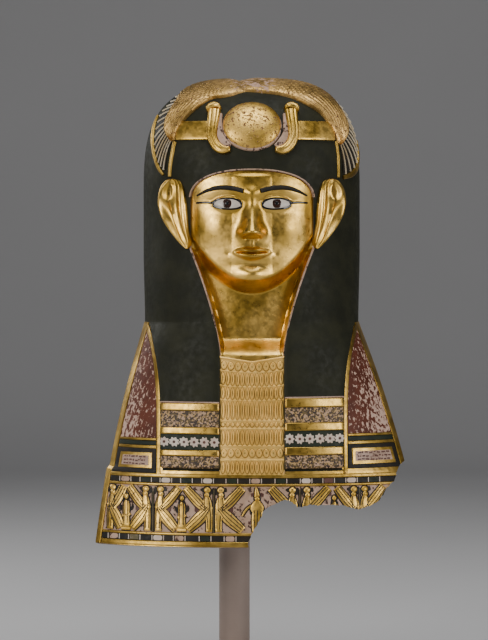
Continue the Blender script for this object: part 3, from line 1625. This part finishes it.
@dataclass
class Lappets:
    """The two wig lappets, each ending in bands of gold, speckled inlay and rosettes."""

    form: MaskForm
    top: float = 235.0
    fade: float = 1.2
    shoulder_round: float = 7.0
    lower_corner: float = 5.0
    gold: tuple = (
        (-1, ((132.4, 140.2), (109.2, 116.4), (87.6, 93.8))),
        (1, ((136.0, 145.2), (112.8, 121.0), (88.8, 97.0))),
    )
    rosettes: int = 6

    def inner(self, h: Array) -> Array:
        """Half-width in to the lappet's inner edge."""
        return self.form.opening_half(np.maximum(h, self.form.collar_top)) + 0.3

    def outer(self, h: Array) -> Array:
        """Half-width out to the lappet's outer edge, drawn in at the lower corners."""
        drop = np.clip((h - self.form.lappet_end) / self.lower_corner, 0, 1)
        return self.form.lappet_outer(h) - 0.3 - self.lower_corner * (1 - np.sqrt(1 - (1 - drop) ** 2)) * 0.6

    def top_rise(self, x: Array, h: Array) -> Array:
        """How far the lappet stands over the apron."""
        side = np.abs(x)
        edge = np.minimum(side - self.inner(h), self.outer(h) - side)
        foot = rounded(np.maximum(h - self.form.lappet_end, 0) + 0.4, 3.5)
        full = (self.form.lappet_rise + self.fade) * smooth(self.top, self.top - 44, h)
        shoulder = rounded(np.maximum(edge, 0) + 0.2, self.shoulder_round)
        return full * (0.62 + 0.38 * shoulder) * foot - self.fade

    def over(self, x: Array, h: Array, raised: Array) -> Array:
        """Points over the lappet's own surface."""
        return self.form.on_front(x, h, np.where(raised > 0, self.top_rise(x, h) + raised, raised))

    def slab(
        self, side: int, low: float, high: float, rise: float, inset: float = 0.4, bevel: float = 0.7
    ) -> Slab:
        """A band across the lappet, to be built, kept inset from the lappet's edges."""
        ends = (lambda h: side * (self.inner(h) + inset), lambda h: side * (self.outer(h) - inset))
        return Slab(self.over, *ends[::side], low, high, rise, bevel, 40, 14)

    def lappet(self, side: int) -> Piece:
        """The lappet's body."""
        form = self.form

        def spots(u: Array, v: Array) -> Triple:
            """Across, height and rise at a grid point."""
            h = mix(form.lappet_end, self.top, v)
            near, far = side * self.inner(h), side * self.outer(h)
            ends = (near, far) if side > 0 else (far, near)
            x = mix(*ends, gathered(u))
            return x, h, self.top_rise(x, h)

        body = raised_body("lappet_" + SIDES[side], 48, 90, form.on_front, spots, 2.5)
        return dress(body, Finish.WIG, angle=50)

    def bands(self, side: int, levels: tuple) -> list[Piece]:
        """The bands at the lappet's end.

        Args:
            side: -1 or 1.
            levels: Lower and upper edges of the gold bands, from the top one down.

        Returns:
            Their pieces.
        """
        label, end = SIDES[side], self.form.lappet_end
        upper, middle, lower = levels
        gold = [self.slab(side, low, high, 1.3, bevel=1.0).build("band") for low, high in levels]
        speckled = [
            self.slab(side, middle[1], upper[0], 0.4, 0.8).build("inlay"),
            self.slab(side, end + 0.8, lower[0], 0.4, 0.8).build("inlay"),
        ]
        flowers_low, flowers_high = lower[1], middle[0]
        field_slab = self.slab(side, flowers_low, flowers_high, 0.4, 0.4).build("rosette_field_" + label)
        centre_h = (flowers_low + flowers_high) / 2
        near, far = self.inner(np.array([centre_h]))[0], self.outer(np.array([centre_h]))[0]
        pitch = (far - near) / self.rosettes
        across = [side * (near + pitch * (i + 0.5)) for i in range(self.rosettes)]
        spots = [Spot(x, centre_h, 0.3 * i, lift=0.3) for i, x in enumerate(across)]
        flower = plaque(round_outline(32, 5.0, 5.6, 8, 0.3), 0.8, 0.5)
        heart = plaque(round_outline(10, 1.4, 1.4), 1.5, 0.4)
        return [
            dress(join("lappet_gold_bands_" + label, gold), Finish.BAND_LEAF),
            dress(self.slab(side, upper[1], upper[1] + 1.4, 0.7).build("lappet_gesso_" + label), Finish.PINK),
            dress(join("lappet_inlay_" + label, speckled), Finish.SPECKLE),
            dress(field_slab, Finish.GREEN),
            dress(stamp("rosettes_" + label, flower, self.over, spots), Finish.WHITE, angle=30),
            dress(stamp("rosette_hearts_" + label, heart, self.over, spots), Finish.MAROON, angle=30),
        ]

    def build(self) -> list[Piece]:
        """Makes both lappets."""
        pieces = []
        for side, levels in self.gold:
            pieces += [self.lappet(side), *self.bands(side, levels)]
        return pieces


@dataclass
class Collar:
    """The broad collar's strip between the lappets: rows of petals, leaves and beads under gold leaf."""

    form: MaskForm
    lines: tuple = (173.5, 158.5, 144.3, 123.8, 115.5, 98.4, 84.5)
    end: float = 70.5
    rise: float = 1.0

    def top(self, x: Array) -> Array:
        """Height of the collar's sagging top edge."""
        form = self.form
        return form.collar_top - form.collar_dip * (1 - np.abs(x) / form.collar_half)

    def sag(self, x: Array | float, h: Array) -> Array:
        """How far the upper rows hang lower in the middle."""
        return -2.2 * (1 - (x / self.form.collar_half) ** 2) * smooth(110, 180, h)

    def plate(self) -> Piece:
        """The strip itself, with a ridge between each two rows."""
        form = self.form

        def spots(u: Array, v: Array) -> Triple:
            """Across, height and rise at a grid point."""
            x = (2 * u - 1) * (form.collar_half + 0.4)
            h = mix(self.end, self.top(x) - 0.4, v)
            ridges = sum(bell((h - row - self.sag(x, h)) / 0.8) for row in self.lines)
            lip = bell((h - self.top(x) + 1.6) / 1.2)
            return x, h, self.rise + 0.5 * ridges + 1.2 * lip

        return dress(raised_body("collar", 40, 260, form.on_front, spots), Finish.MATT_LEAF, angle=50)

    def row(self, low: float, high: float, count: int, template: Piece, name: str) -> Piece:
        """A row of one ornament.

        Args:
            low: The row's lower line.
            high: Its upper line.
            count: How many.
            template: The ornament.
            name: The row's name.

        Returns:
            The row.
        """
        half, middle = self.form.collar_half, (low + high) / 2
        pitch = 2 * half / count
        across = [-half + pitch * (i + 0.5) for i in range(count)]
        spots = [Spot(x, middle + self.sag(x, np.array(middle)), lift=self.rise - 0.1) for x in across]
        return stamp(name, template, self.form.on_front, spots)

    def build(self) -> list[Piece]:
        """Makes the collar."""
        rows, shadows = [], []
        tops = (184.5, *self.lines)
        kinds = ("bead", "petal", "petal", "petal", "dot", "petal", "bead", "petal")
        for i, (high, low) in enumerate(zip(tops, (*self.lines, self.end))):
            tall = (high - low) / 2 - 0.9
            wide, high_half, count = {
                "petal": (1.9, tall, 13), "bead": (2.9, min(tall, 4.2), 9), "dot": (1.7, min(tall, 2.2), 13)
            }[kinds[i]]
            edge = plaque(round_outline(14, wide + 0.45, high_half + 0.45), 0.7, 0.3)
            shadows.append(self.row(low, high, count, edge, f"edge_{i}"))
            shape = plaque(round_outline(14, wide, high_half), 1.7, 0.8)
            rows.append(self.row(low, high, count, shape, f"row_{i}"))
            if kinds[i] != "dot":
                inner = round_outline(10, 0.6, max(tall - 2.8, 0.9) if kinds[i] == "petal" else 1.2)
                shadows.append(self.row(low, high, count, plaque(inner, 1.95, 0.25), f"inner_{i}"))
        return [
            self.plate(),
            dress(join("collar_outlines", shadows), Finish.SHADOW_LEAF, angle=25),
            dress(join("collar_ornament", rows), Finish.MATT_LEAF, angle=25),
        ]


@dataclass
class Apron:
    """The flap over the chest: gold borders, red panels, framed fields and the two rows of blocks."""

    form: MaskForm
    cutter: Piece
    border_half: float = 2.6
    strip: float = 4.6
    bar: tuple = (98.2, 102.8)
    frame: tuple = (70.8, 95.0)
    frame_width: float = 3.6
    right_lift: float = 4.6
    upper_blocks: tuple = (61.6, 66.9)
    lower_blocks: tuple = (5.2, 10.8)
    upper_colours: tuple = (
        (-127.0, "pink"), (-106.0, "green"), (-85.6, "white"), (-65.0, "green"), (-44.0, "white"),
        (-20.0, "green"), (3.5, "pink"), (28.5, "green"), (53.5, "white"), (76.0, "maroon"),
        (99.0, "white"), (122.0, "green"),
    )
    lower_colours: tuple = (
        (-138.0, "pink"), (-117.0, "olive"), (-93.3, "white"), (-71.9, "pink"), (-46.3, "green"),
        (-21.7, "pink"),
    )

    def outer(self, h: Array, side: int, inset: float = 0.0) -> Array:
        """Half-width to the inside of the outer border."""
        return self.form.apron_edge(h, side) - 2 * self.border_half - 0.6 - inset

    def near(self, h: Array, inset: float = 0.0) -> Array:
        """Half-width to the outside of the strip along the lappet."""
        return self.form.lappet_outer(h) + self.strip + inset

    def ends(self, side: int, inset: float = 0.0) -> tuple[Along, Along]:
        """A side field's left and right edges, as x at each height.

        Args:
            side: -1 or 1.
            inset: How far in from the borders.

        Returns:
            The two edges.
        """

        edges = (
            lambda h: side * self.near(h, inset),
            lambda h: side * np.maximum(self.outer(h, side, inset), self.near(h, inset)),
        )
        return edges[::side]

    def slab(self, side: int, low: float, high: float, rise: float, inset: float = 0.0) -> Piece:
        """A low panel across a side field."""
        rows = max(10, int((high - low) / 1.5))
        return Slab(self.form.on_front, *self.ends(side, inset), low, high, rise, 0.5, 26, rows).build("slab")

    def across(self, name: str, *sizes: float, columns: int = 200, rows: int = 8) -> Piece:
        """A low panel across the whole apron, cut at the old break.

        Args:
            name: The piece's name.
            sizes: Its lower and upper edge, its rise and its bevel.
            columns: Faces across.
            rows: Faces along.

        Returns:
            The panel.
        """
        ends = (lambda h: -self.outer(h, -1), lambda h: self.outer(h, 1))
        made = Slab(self.form.on_front, *ends, *sizes, columns, rows).build(name)
        cut(made, self.cutter)
        return made

    def side(self, side: int) -> list[Piece]:
        """One side field, from the shoulder down to the blocks.

        Args:
            side: -1 or 1.

        Returns:
            Its pieces.
        """
        form, label = self.form, SIDES[side]
        lift = self.right_lift if side > 0 else 0.0
        low, high = self.frame[0] + lift, self.frame[1] + lift
        bar_low, bar_high = self.bar[0] + lift, self.bar[1] + lift
        top, panel_low = form.shoulder, bar_high + 2.6

        def border(name: str, start: float, end: float, steps: int) -> Piece:
            """A length of the outer border between two heights."""

            def at(t: Array) -> Pair:
                """A point of its middle line."""
                h = mix(start, end, t)
                return side * (form.apron_edge(h, side) - self.border_half - 0.4), h

            return Ribbon(form.on_front, at, level(self.border_half), pillow(1.2, 6), steps, 10).build(name)

        def along(t: Array) -> Pair:
            """The middle line of the strip along the lappet."""
            h = mix(self.upper_blocks[1] + 3, top - 3, t)
            return side * (form.lappet_outer(h) + self.strip / 2 + 0.1), h

        borders = [
            border("upper", form.tab_top, top + 1, 90),
            border("lower", 0.6, form.tab_top - 3, 50),
            Ribbon(form.on_front, along, level(self.strip / 2 - 0.3), pillow(1.2, 6), 90, 8).build("inner"),
            self.slab(side, bar_high, panel_low, 1.3),
            self.slab(side, high, bar_low, 0.9),
        ]
        inner = self.frame_width + 0.4
        sunk = inner + 3.0
        strokes = self.strokes(side, low + sunk, high - sunk, sunk + 1.5)
        bar, frame_slab = self.slab(side, bar_low, bar_high, 0.8), self.slab(side, low, high, 1.0)
        if side > 0:
            borders = [piece for piece in borders if form.trim(piece, self.cutter)]
            form.trim(frame_slab, self.cutter)
        panels = (
            ("red_panel_", self.slab(side, panel_low, top - 6, 0.5), Finish.RED),
            ("bar_", bar, Finish.GREEN),
            ("frame_", frame_slab, Finish.BLACK),
            ("inner_frame_", self.slab(side, low + inner, high - inner, 1.5, inner), Finish.LEAF),
            ("field_", self.slab(side, low + sunk, high - sunk, 1.8, sunk), Finish.PINK),
            ("field_strokes_", strokes, Finish.MAROON),
        )
        pieces = [dress(join("apron_borders_" + label, borders), Finish.DULL_LEAF)]
        return pieces + [dress(join(name + label, [piece]), finish) for name, piece, finish in panels]

    def strokes(self, side: int, low: float, high: float, inset: float) -> Piece:
        """Rows of short strokes, in place of writing.

        Args:
            side: -1 or 1.
            low: The rows' lower edge.
            high: Their upper edge.
            inset: How far they keep from the borders.

        Returns:
            The strokes.
        """
        luck = np.random.default_rng(20 + side)
        spots = []
        for h in np.linspace(low + 1.6, high - 1.6, 3):
            ends = sorted(float(edge(np.array([h]))[0]) for edge in self.ends(side, inset))
            x = ends[0] + 1
            while x < ends[1] - 2:
                long = luck.uniform(1.0, 4.2)
                near, turn = float(h) + luck.uniform(-0.5, 0.5), luck.uniform(-0.15, 0.15)
                spots.append(Spot(x + long / 2, near, turn, long / 2))
                x += long + luck.uniform(0.5, 1.6)
        block = plaque([(1, 0.7), (-1, 0.7), (-1, -0.7), (1, -0.7)], 2.2, 0.12)
        return stamp("field_strokes_" + SIDES[side], block, self.form.on_front, spots)

    def blocks(self, name: str, span: Point, colours: tuple) -> list[Piece]:
        """A row of long dark blocks with coloured ones between, parted by thin light bars.

        Args:
            name: The row's name.
            span: Its lower and upper edge.
            colours: Where each coloured block is, and its colour.

        Returns:
            Its pieces.
        """
        on, h, tall = self.form.on_front, (span[0] + span[1]) / 2, (span[1] - span[0]) / 2 - 0.3
        pieces = [dress(self.across(name + "_ground", *span, 0.7, 0.4), Finish.BLACK)]
        bars = [Spot(x + off, h, lift=0.6) for x, _ in colours for off in (-5.8, 5.8)]
        bar = plaque([(0.4, tall), (-0.4, tall), (-0.4, -tall), (0.4, -tall)], 0.35, 0.1)
        light = stamp(name + "_bars", bar, on, bars)
        for key in ("pink", "white", "green", "olive", "maroon"):
            spots = [Spot(x, h, lift=0.6) for x, colour in colours if colour == key]
            if not spots:
                continue
            corner = 2.0 if key in ("pink", "white") else 0.5
            turns = np.linspace(0, 2 * np.pi, 20, endpoint=False) + 0.1
            away = np.stack([np.cos(turns), np.sin(turns)], 1)
            middles = np.sign(away) * (4.4 - corner, max(tall - corner, 0))
            outline = away * corner * (1, min(1, tall / corner)) + middles
            block = plaque([tuple(point) for point in outline], 0.4, 0.15)
            coloured = stamp(f"{name}_{key}", block, on, spots)
            cut(coloured, self.cutter)
            if len(coloured.data.polygons):
                pieces.append(dress(coloured, Finish.FRIEZE_GESSO if key == "pink" else Finish[key.upper()]))
        cut(light, self.cutter)
        pieces.append(dress(light, Finish.WHITE))
        return pieces

    def rails(self) -> Piece:
        """The gold rails over and under the rows of blocks, and the hem."""
        upper, lower = self.upper_blocks, self.lower_blocks
        levels = (
            (upper[1], upper[1] + 4.1, 1.3),
            (upper[0] - 2.8, upper[0], 1.3),
            (lower[1], lower[1] + 2.8, 1.1),
            (0.4, lower[0], 0.9),
        )
        made = [self.across("rail", low, high, rise, 1.0) for low, high, rise in levels]
        return dress(join("apron_rails", made), Finish.DULL_LEAF)

    def build(self) -> list[Piece]:
        """Makes the apron's fields and borders."""
        pieces = [*self.side(-1), *self.side(1)]
        pieces += self.blocks("upper_blocks", self.upper_blocks, self.upper_colours)
        pieces += self.blocks("lower_blocks", self.lower_blocks, self.lower_colours)
        pieces.append(self.rails())
        return pieces

@dataclass(frozen=True)
class Limb:
    """One part of a figure: a tapered strip through its points, or a knob where it has one point.

    A point is a distance forward in millimetres and a share of the frieze's height.
    """

    points: tuple[Point, ...]
    half: tuple[float, ...]
    rise: float = 1.0
    more: float = 0.0
    lines: int = 0


TALL_FIGURE = (
    Limb(((0, 0.01), (0, 0.25), (0.5, 0.5)), (5.2, 5.6, 5.4), lines=3),
    Limb(((0, 0.45), (0, 0.56), (0, 0.7)), (5.6, 6.8, 2.8)),
    Limb(((-6, 0.6), (-11, 0.5), (-15, 0.36)), (1.0, 1.2, 0.8), 0.8),
    Limb(((0, 0.74),), (3.0, 2.8), more=0.3),
    Limb(((0, 0.78), (-0.5, 0.88), (-1, 0.99)), (3.0, 2.2, 0.9)),
)
SMALL_FIGURE = (
    Limb(((-4.8, 0.045), (4.8, 0.045)), (1.9, 1.9), 0.9),
    Limb(((0, 0.08), (0, 0.3), (0, 0.56), (0, 0.66)), (4.4, 3.4, 3.6, 1.6), lines=2),
    Limb(((-4.2, 0.33), (0, 0.3), (4.4, 0.37)), (1.3, 1.7, 1.2)),
    Limb(((0, 0.74),), (2.5, 2.9), more=0.3),
)


def goddess(gap: float, longest: float = 22.0) -> tuple[Limb, ...]:
    """A winged goddess in profile, one wing up and one down.

    Args:
        gap: Distance to the figure that she faces.
        longest: How far a wing can reach.

    Returns:
        Her parts.
    """
    up, down = min(gap - 2.5, longest), min(gap - 5.5, longest)
    return (
        Limb(((-1.6, 0.01), (-1.6, 0.3), (-0.3, 0.6)), (3.2, 3.4, 4.2), 0.8, lines=2),
        Limb(((-3.4, 0.4), (-2.4, 0.2), (0.8, 0.02)), (1.2, 2.0, 1.2), 0.7),
        Limb(((0.2, 0.42), (0.4, 0.60), (0.7, 0.78)), (4.4, 4.9, 2.6), lines=2),
        Limb(((-0.5, 0.46), (up * 0.42, 0.66), (up, 0.97)), (2.8, 4.9, 3.8), lines=3),
        Limb(((-3.0, 0.58), (down * 0.36, 0.32), (down, 0.05)), (3.0, 5.8, 4.2), lines=3),
        Limb(((0.9, 0.82),), (3.0, 2.8), more=0.3),
        Limb(((0.4, 0.925),), (3.7, 3.2)),
    )
@dataclass(frozen=True)
class Group:
    """Two goddesses who face a figure between them."""

    left: float
    middle: float
    right: float
    tall: bool = False


@dataclass
class Frieze:
    """The row of winged figures along the apron, gilded in low relief on a pink ground."""

    form: MaskForm
    apron: Apron
    base: float = 14.0
    top: float = 58.6
    groups: tuple[Group, ...] = (
        Group(-140.5, -125.5, -105.5),
        Group(-91.5, -69.5, -44.0),
        Group(-31.5, 5.0, 40.5, tall=True),
        Group(54.0, 81.5, 102.0),
        Group(112.0, 134.0, 155.0),
    )
    partings: tuple[float, ...] = (-98.5, -37.8, 47.2, 107.0)
    rise: float = 1.8
    outline: float = 1.2
    painted: list[Piece] = field(default_factory=list)

    def limb(self, part: Limb, x: float, facing: float, grow: float, rise: float) -> Piece:
        """One part of a figure.

        Args:
            part: Its shape.
            x: Where the figure stands.
            facing: 1 if it looks to the right, and -1 to the left.
            grow: How much wider to make the part, for a dark edge.
            rise: The figure's height over the ground.

        Returns:
            The part.
        """
        on, half = self.form.on_front, part.half
        points = [(x + facing * a, mix(self.base, self.top, b)) for a, b in part.points]
        rise = rise * part.rise + part.more
        if len(points) == 1:
            return Boss(on, points[0], (half[0] + grow, half[1] + grow), rise, 16, 4).build("knob")
        path, width = spline(points), widths(*half)
        if not grow:
            offs = np.linspace(-0.55, 0.55, part.lines)
            self.painted += [self.fine_line(path, width, off, rise) for off in offs]

        def top(t: Array, s: Array) -> Array:
            """A flat dome."""
            return rise * arc(s, 3) * rounded(np.minimum(t, 1 - t) + 0.02, 0.08)

        steps, across = (10, 6) if grow else (18, 8)
        return Ribbon(on, path, lambda t: width(t) + grow, top, steps, across).build("limb")

    def fine_line(self, path: Path, width: Along, off: float, rise: float) -> Piece:
        """One dark line painted along a figure's part.

        Args:
            path: The part's middle line.
            width: Its half-width.
            off: How far off the middle, as a share of the half-width.
            rise: The part's height.

        Returns:
            The line.
        """

        def beside(t: Array) -> Pair:
            """A point of the line, which spreads towards the part's end."""
            u = mix(0.14, 0.95, t)
            (x, h), (next_x, next_h) = path(u), path(u + 0.01)
            run = np.hypot(next_x - x, next_h - h)
            reach = off * width(u) * mix(0.7, 1.2, u)
            return x - (next_h - h) / run * reach, h + (next_x - x) / run * reach

        return Ribbon(self.form.on_front, beside, level(0.42), level(rise * 0.94 + 0.15), 14, 2).build("fine")

    def figures(self, name: str, grow: float, rise: float) -> Piece:
        """All the figures, trimmed at the old break.

        Args:
            name: The piece's name.
            grow: How much wider to make them.
            rise: Their height.

        Returns:
            One piece.
        """
        made, cutter = [], self.apron.cutter
        for group in self.groups:
            standing = TALL_FIGURE if group.tall else SMALL_FIGURE
            for x in (group.left, group.middle, group.right):
                gap = group.middle - x
                parts, facing = goddess(abs(gap)) if gap else standing, math.copysign(1, gap)
                made += [self.limb(part, x, facing, grow, rise) for part in parts]
        return join(name, [part for part in made if self.form.trim(part, cutter)])

    def daubs(self) -> list[Piece]:
        """Dark and red strokes of paint between the figures, and the lines that part the groups."""
        luck = np.random.default_rng(31)
        dark, red = [], []
        for group in self.groups:
            for x, way in ((group.left, 1), (group.right, -1)):
                gap = abs(group.middle - x)
                places = (
                    (x + way * 5.0, 0.93, -0.9 * way, 1.5, 0.8),
                    (x + way * min(gap * 0.42, 11), 0.49, -0.55 * way, 1.3, 1.2),
                    (group.middle - way * 6.0, 0.5, 0.35 * way, 1.1, 1.3),
                    (group.middle - way * 4.6, 0.83, -0.6 * way, 1.1, 0.8),
                    (x - way * 4.3, 0.9, 0.2 * way, 1.0, 1.3),
                    (group.middle - way * 7.5, 0.22, 0.6 * way, 1.0, 0.7),
                )
                for i, (a, b, turn, wide, long) in enumerate(places):
                    near = a + luck.uniform(-0.5, 0.5)
                    spot = Spot(near, mix(self.base, self.top, b), turn + luck.uniform(-0.2, 0.2), wide, long)
                    (red if i % 2 else dark).append(spot)
            if not group.tall:
                h = mix(self.base, self.top, 0.62)
                dark += [Spot(group.middle + way * 3.0, h, way * 0.12, 0.7, 1.3) for way in (-1, 1)]
        h = mix(self.base, self.top, 0.47)
        lines = [Spot(x + off, h) for x in self.partings for off in (-1.1, 1.1)]
        light = [Spot(x, h) for x in self.partings]
        rod = [(-0.45, h) for h in (21, 7, -7, -21)]
        rod = [(0.45, 21), *rod, (0.45, -21), (0.45, -7), (0.45, 7)]
        pieces = []
        for name, spots, outline, rise, finish in (
            ("frieze_dark_strokes", dark, round_outline(12, 1.7, 3.4, 3, 0.3), 0.8, Finish.BLACK),
            ("frieze_red_strokes", red, round_outline(12, 1.9, 3.2, 4, 0.3), 0.8, Finish.MAROON),
            ("frieze_lines", lines, rod, 1.0, Finish.BLACK),
            ("frieze_light_lines", light, rod, 1.1, Finish.OLIVE),
        ):
            made = stamp(name, plaque(outline, rise, 0.2), self.form.on_front, spots)
            cut(made, self.apron.cutter)
            pieces.append(dress(made, finish))
        return pieces

    def build(self) -> list[Piece]:
        """Makes the frieze, from its dark edges up to the lines painted on the figures."""
        cutter = self.apron.cutter
        edges = self.figures("frieze_outlines", self.outline, 1.1)
        figures = self.figures("frieze_figures", 0.0, self.rise)
        fine = join("frieze_fine_lines", [part for part in self.painted if self.form.trim(part, cutter)])
        sizes = (self.base - 0.4, self.top + 0.3, 0.35, 0.4)
        ground = self.apron.across("frieze_ground", *sizes, columns=220, rows=30)
        return [
            dress(fine, Finish.BLACK),
            dress(ground, Finish.FRIEZE_GESSO),
            *self.daubs(),
            dress(edges, Finish.BLACK),
            dress(figures, Finish.FIGURE_LEAF),
        ]


@dataclass
class Stand:
    """The post with its foot, and the cap that the crown rests on."""

    post_bevel: float = 0.8
    foot_bevel: float = 2.0

    def turned(self, name: str, node: str, bevel: float) -> Piece:
        """A bevelled cylinder in the place of a node.

        Args:
            name: The piece's name.
            node: The node that it stands for.
            bevel: Size of its bevels in millimetres.

        Returns:
            The piece.
        """
        low, high = (np.array(corner, float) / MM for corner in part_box(node))
        size, middle = high - low, (low + high) / 2 - (0, 0, LIFT)
        operator = bpy.ops.mesh.primitive_cylinder_add
        body = primitive(name, operator, vertices=96, radius=size[0] / 2, depth=size[2], location=middle)
        bpy.ops.object.transform_apply(location=True, rotation=False, scale=False)
        apply_modifier(body, "BEVEL", width=bevel, segments=4, limit_method="ANGLE")
        dress(body, Finish.STAND, slot=Slot.STAND, angle=35)
        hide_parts(node)
        return body

    def build(self) -> list[Piece]:
        """Makes the post and foot, and paints the cap."""
        cap = frame["nodes"]["support_cap"]
        cap.data.materials.clear()
        cap.data.materials.append(material_of(Finish.STAND))
        sizes = {"post": self.post_bevel, "foot": self.foot_bevel}
        return [self.turned(name, "support_" + name, bevel) for name, bevel in sizes.items()]


@dataclass
class Studio:
    """A pale floor that curves up behind, soft lights, and the camera."""

    width: float = 9.0
    front: float = -5.0
    back: float = 3.2
    sweep: float = 1.6
    height: float = 4.5
    camera_place: tuple[float, float, float] = (-0.008, -2.300, 0.374)
    lens: float = 82.5
    sensor: float = 24.0
    aim: tuple[float, float, float] = (0, -0.05, 0.42)

    def floor(self) -> Piece:
        """The floor and its curved back."""

        def place(u: Array, v: Array) -> Array:
            """A point of the sweep, from the front edge up to the top."""
            flat = self.back - self.front
            bend = self.sweep * math.pi / 2
            run = v * (flat + bend + self.height)
            turn = np.clip((run - flat) / self.sweep, 0, math.pi / 2)
            y = self.front + np.minimum(run, flat) + self.sweep * np.sin(turn)
            z = self.sweep * (1 - np.cos(turn)) + np.maximum(run - flat - bend, 0)
            return np.stack([(u - 0.5) * self.width, y, z], 1)

        floor = grid_sheet("studio_floor", 8, 120, place)
        g = Graph("studio_paper", roughness=0.8)
        g.set("Base Color", g.blend(g.noise(400, 2), (0.56, 0.56, 0.565), (0.59, 0.59, 0.595)))
        floor.data.materials.append(g.material)
        select_only(floor)
        bpy.ops.object.shade_smooth()
        floor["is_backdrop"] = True
        return floor

    def light(self, name: str, place: tuple, size: float, power: float, tint: Colour = (1, 1, 1)) -> None:
        """A square soft light aimed at the mask.

        Args:
            name: Its name.
            place: Where it is.
            size: Its side.
            power: Its strength in watts.
            tint: Its colour.
        """
        x, y, z = np.array(self.aim) - place
        turn = (math.atan2(math.hypot(x, y), -z), 0, math.atan2(y, x) - math.pi / 2)
        bpy.ops.object.light_add(type="AREA", location=place, rotation=turn)
        light = bpy.context.object
        light.name = name
        light.data.size, light.data.energy, light.data.color = size, power, tint

    def build(self) -> None:
        """Sets the studio up."""
        self.floor()
        self.light("key", (-1.7, -1.7, 1.15), 1.1, 34, (1.0, 0.97, 0.93))
        self.light("fill", (1.9, -1.5, 0.95), 1.1, 26, (1.0, 0.98, 0.96))
        self.light("top", (0.1, -0.5, 2.4), 1.2, 24)
        self.light("rim", (-1.6, 1.0, 1.2), 0.8, 10)
        world = bpy.data.worlds.new("studio_world")
        bpy.context.scene.world = world
        world.use_nodes = True
        background = world.node_tree.nodes["Background"]
        background.inputs["Color"].default_value = (0.5, 0.5, 0.52, 1)
        background.inputs["Strength"].default_value = 0.22
        bpy.ops.object.camera_add(location=self.camera_place, rotation=(math.pi / 2, 0, 0))
        camera = bpy.context.object
        camera.data.sensor_fit = "VERTICAL"
        camera.data.sensor_height = self.sensor
        camera.data.lens = self.lens
        bpy.context.scene.camera = camera


def main() -> None:
    """Builds the mask, its stand and the studio, and says what was made."""
    logging.basicConfig(level=logging.INFO, format="%(message)s")
    form = MaskForm()
    shell = WigShell(form)
    cutter = shell.break_cutter()
    apron = Apron(form, cutter)
    built = [
        *shell.build(),
        *Face(form).build(),
        *Crest(form).build(),
        *(piece for wing in both_wings(form) for piece in wing.build()),
        *Lappets(form).build(),
        *Collar(form).build(),
        *apron.build(),
        *Frieze(form, apron).build(),
        *Stand().build(),
    ]
    bpy.data.objects.remove(cutter)
    for piece in built:
        log.info("%s: %d faces", piece.name, len(piece.data.polygons))
    Studio().build()
    boxes = [[[float(v) for v in corner] for corner in box] for box in (CAD_BOX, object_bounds())]


if __name__ == "__main__":
    main()
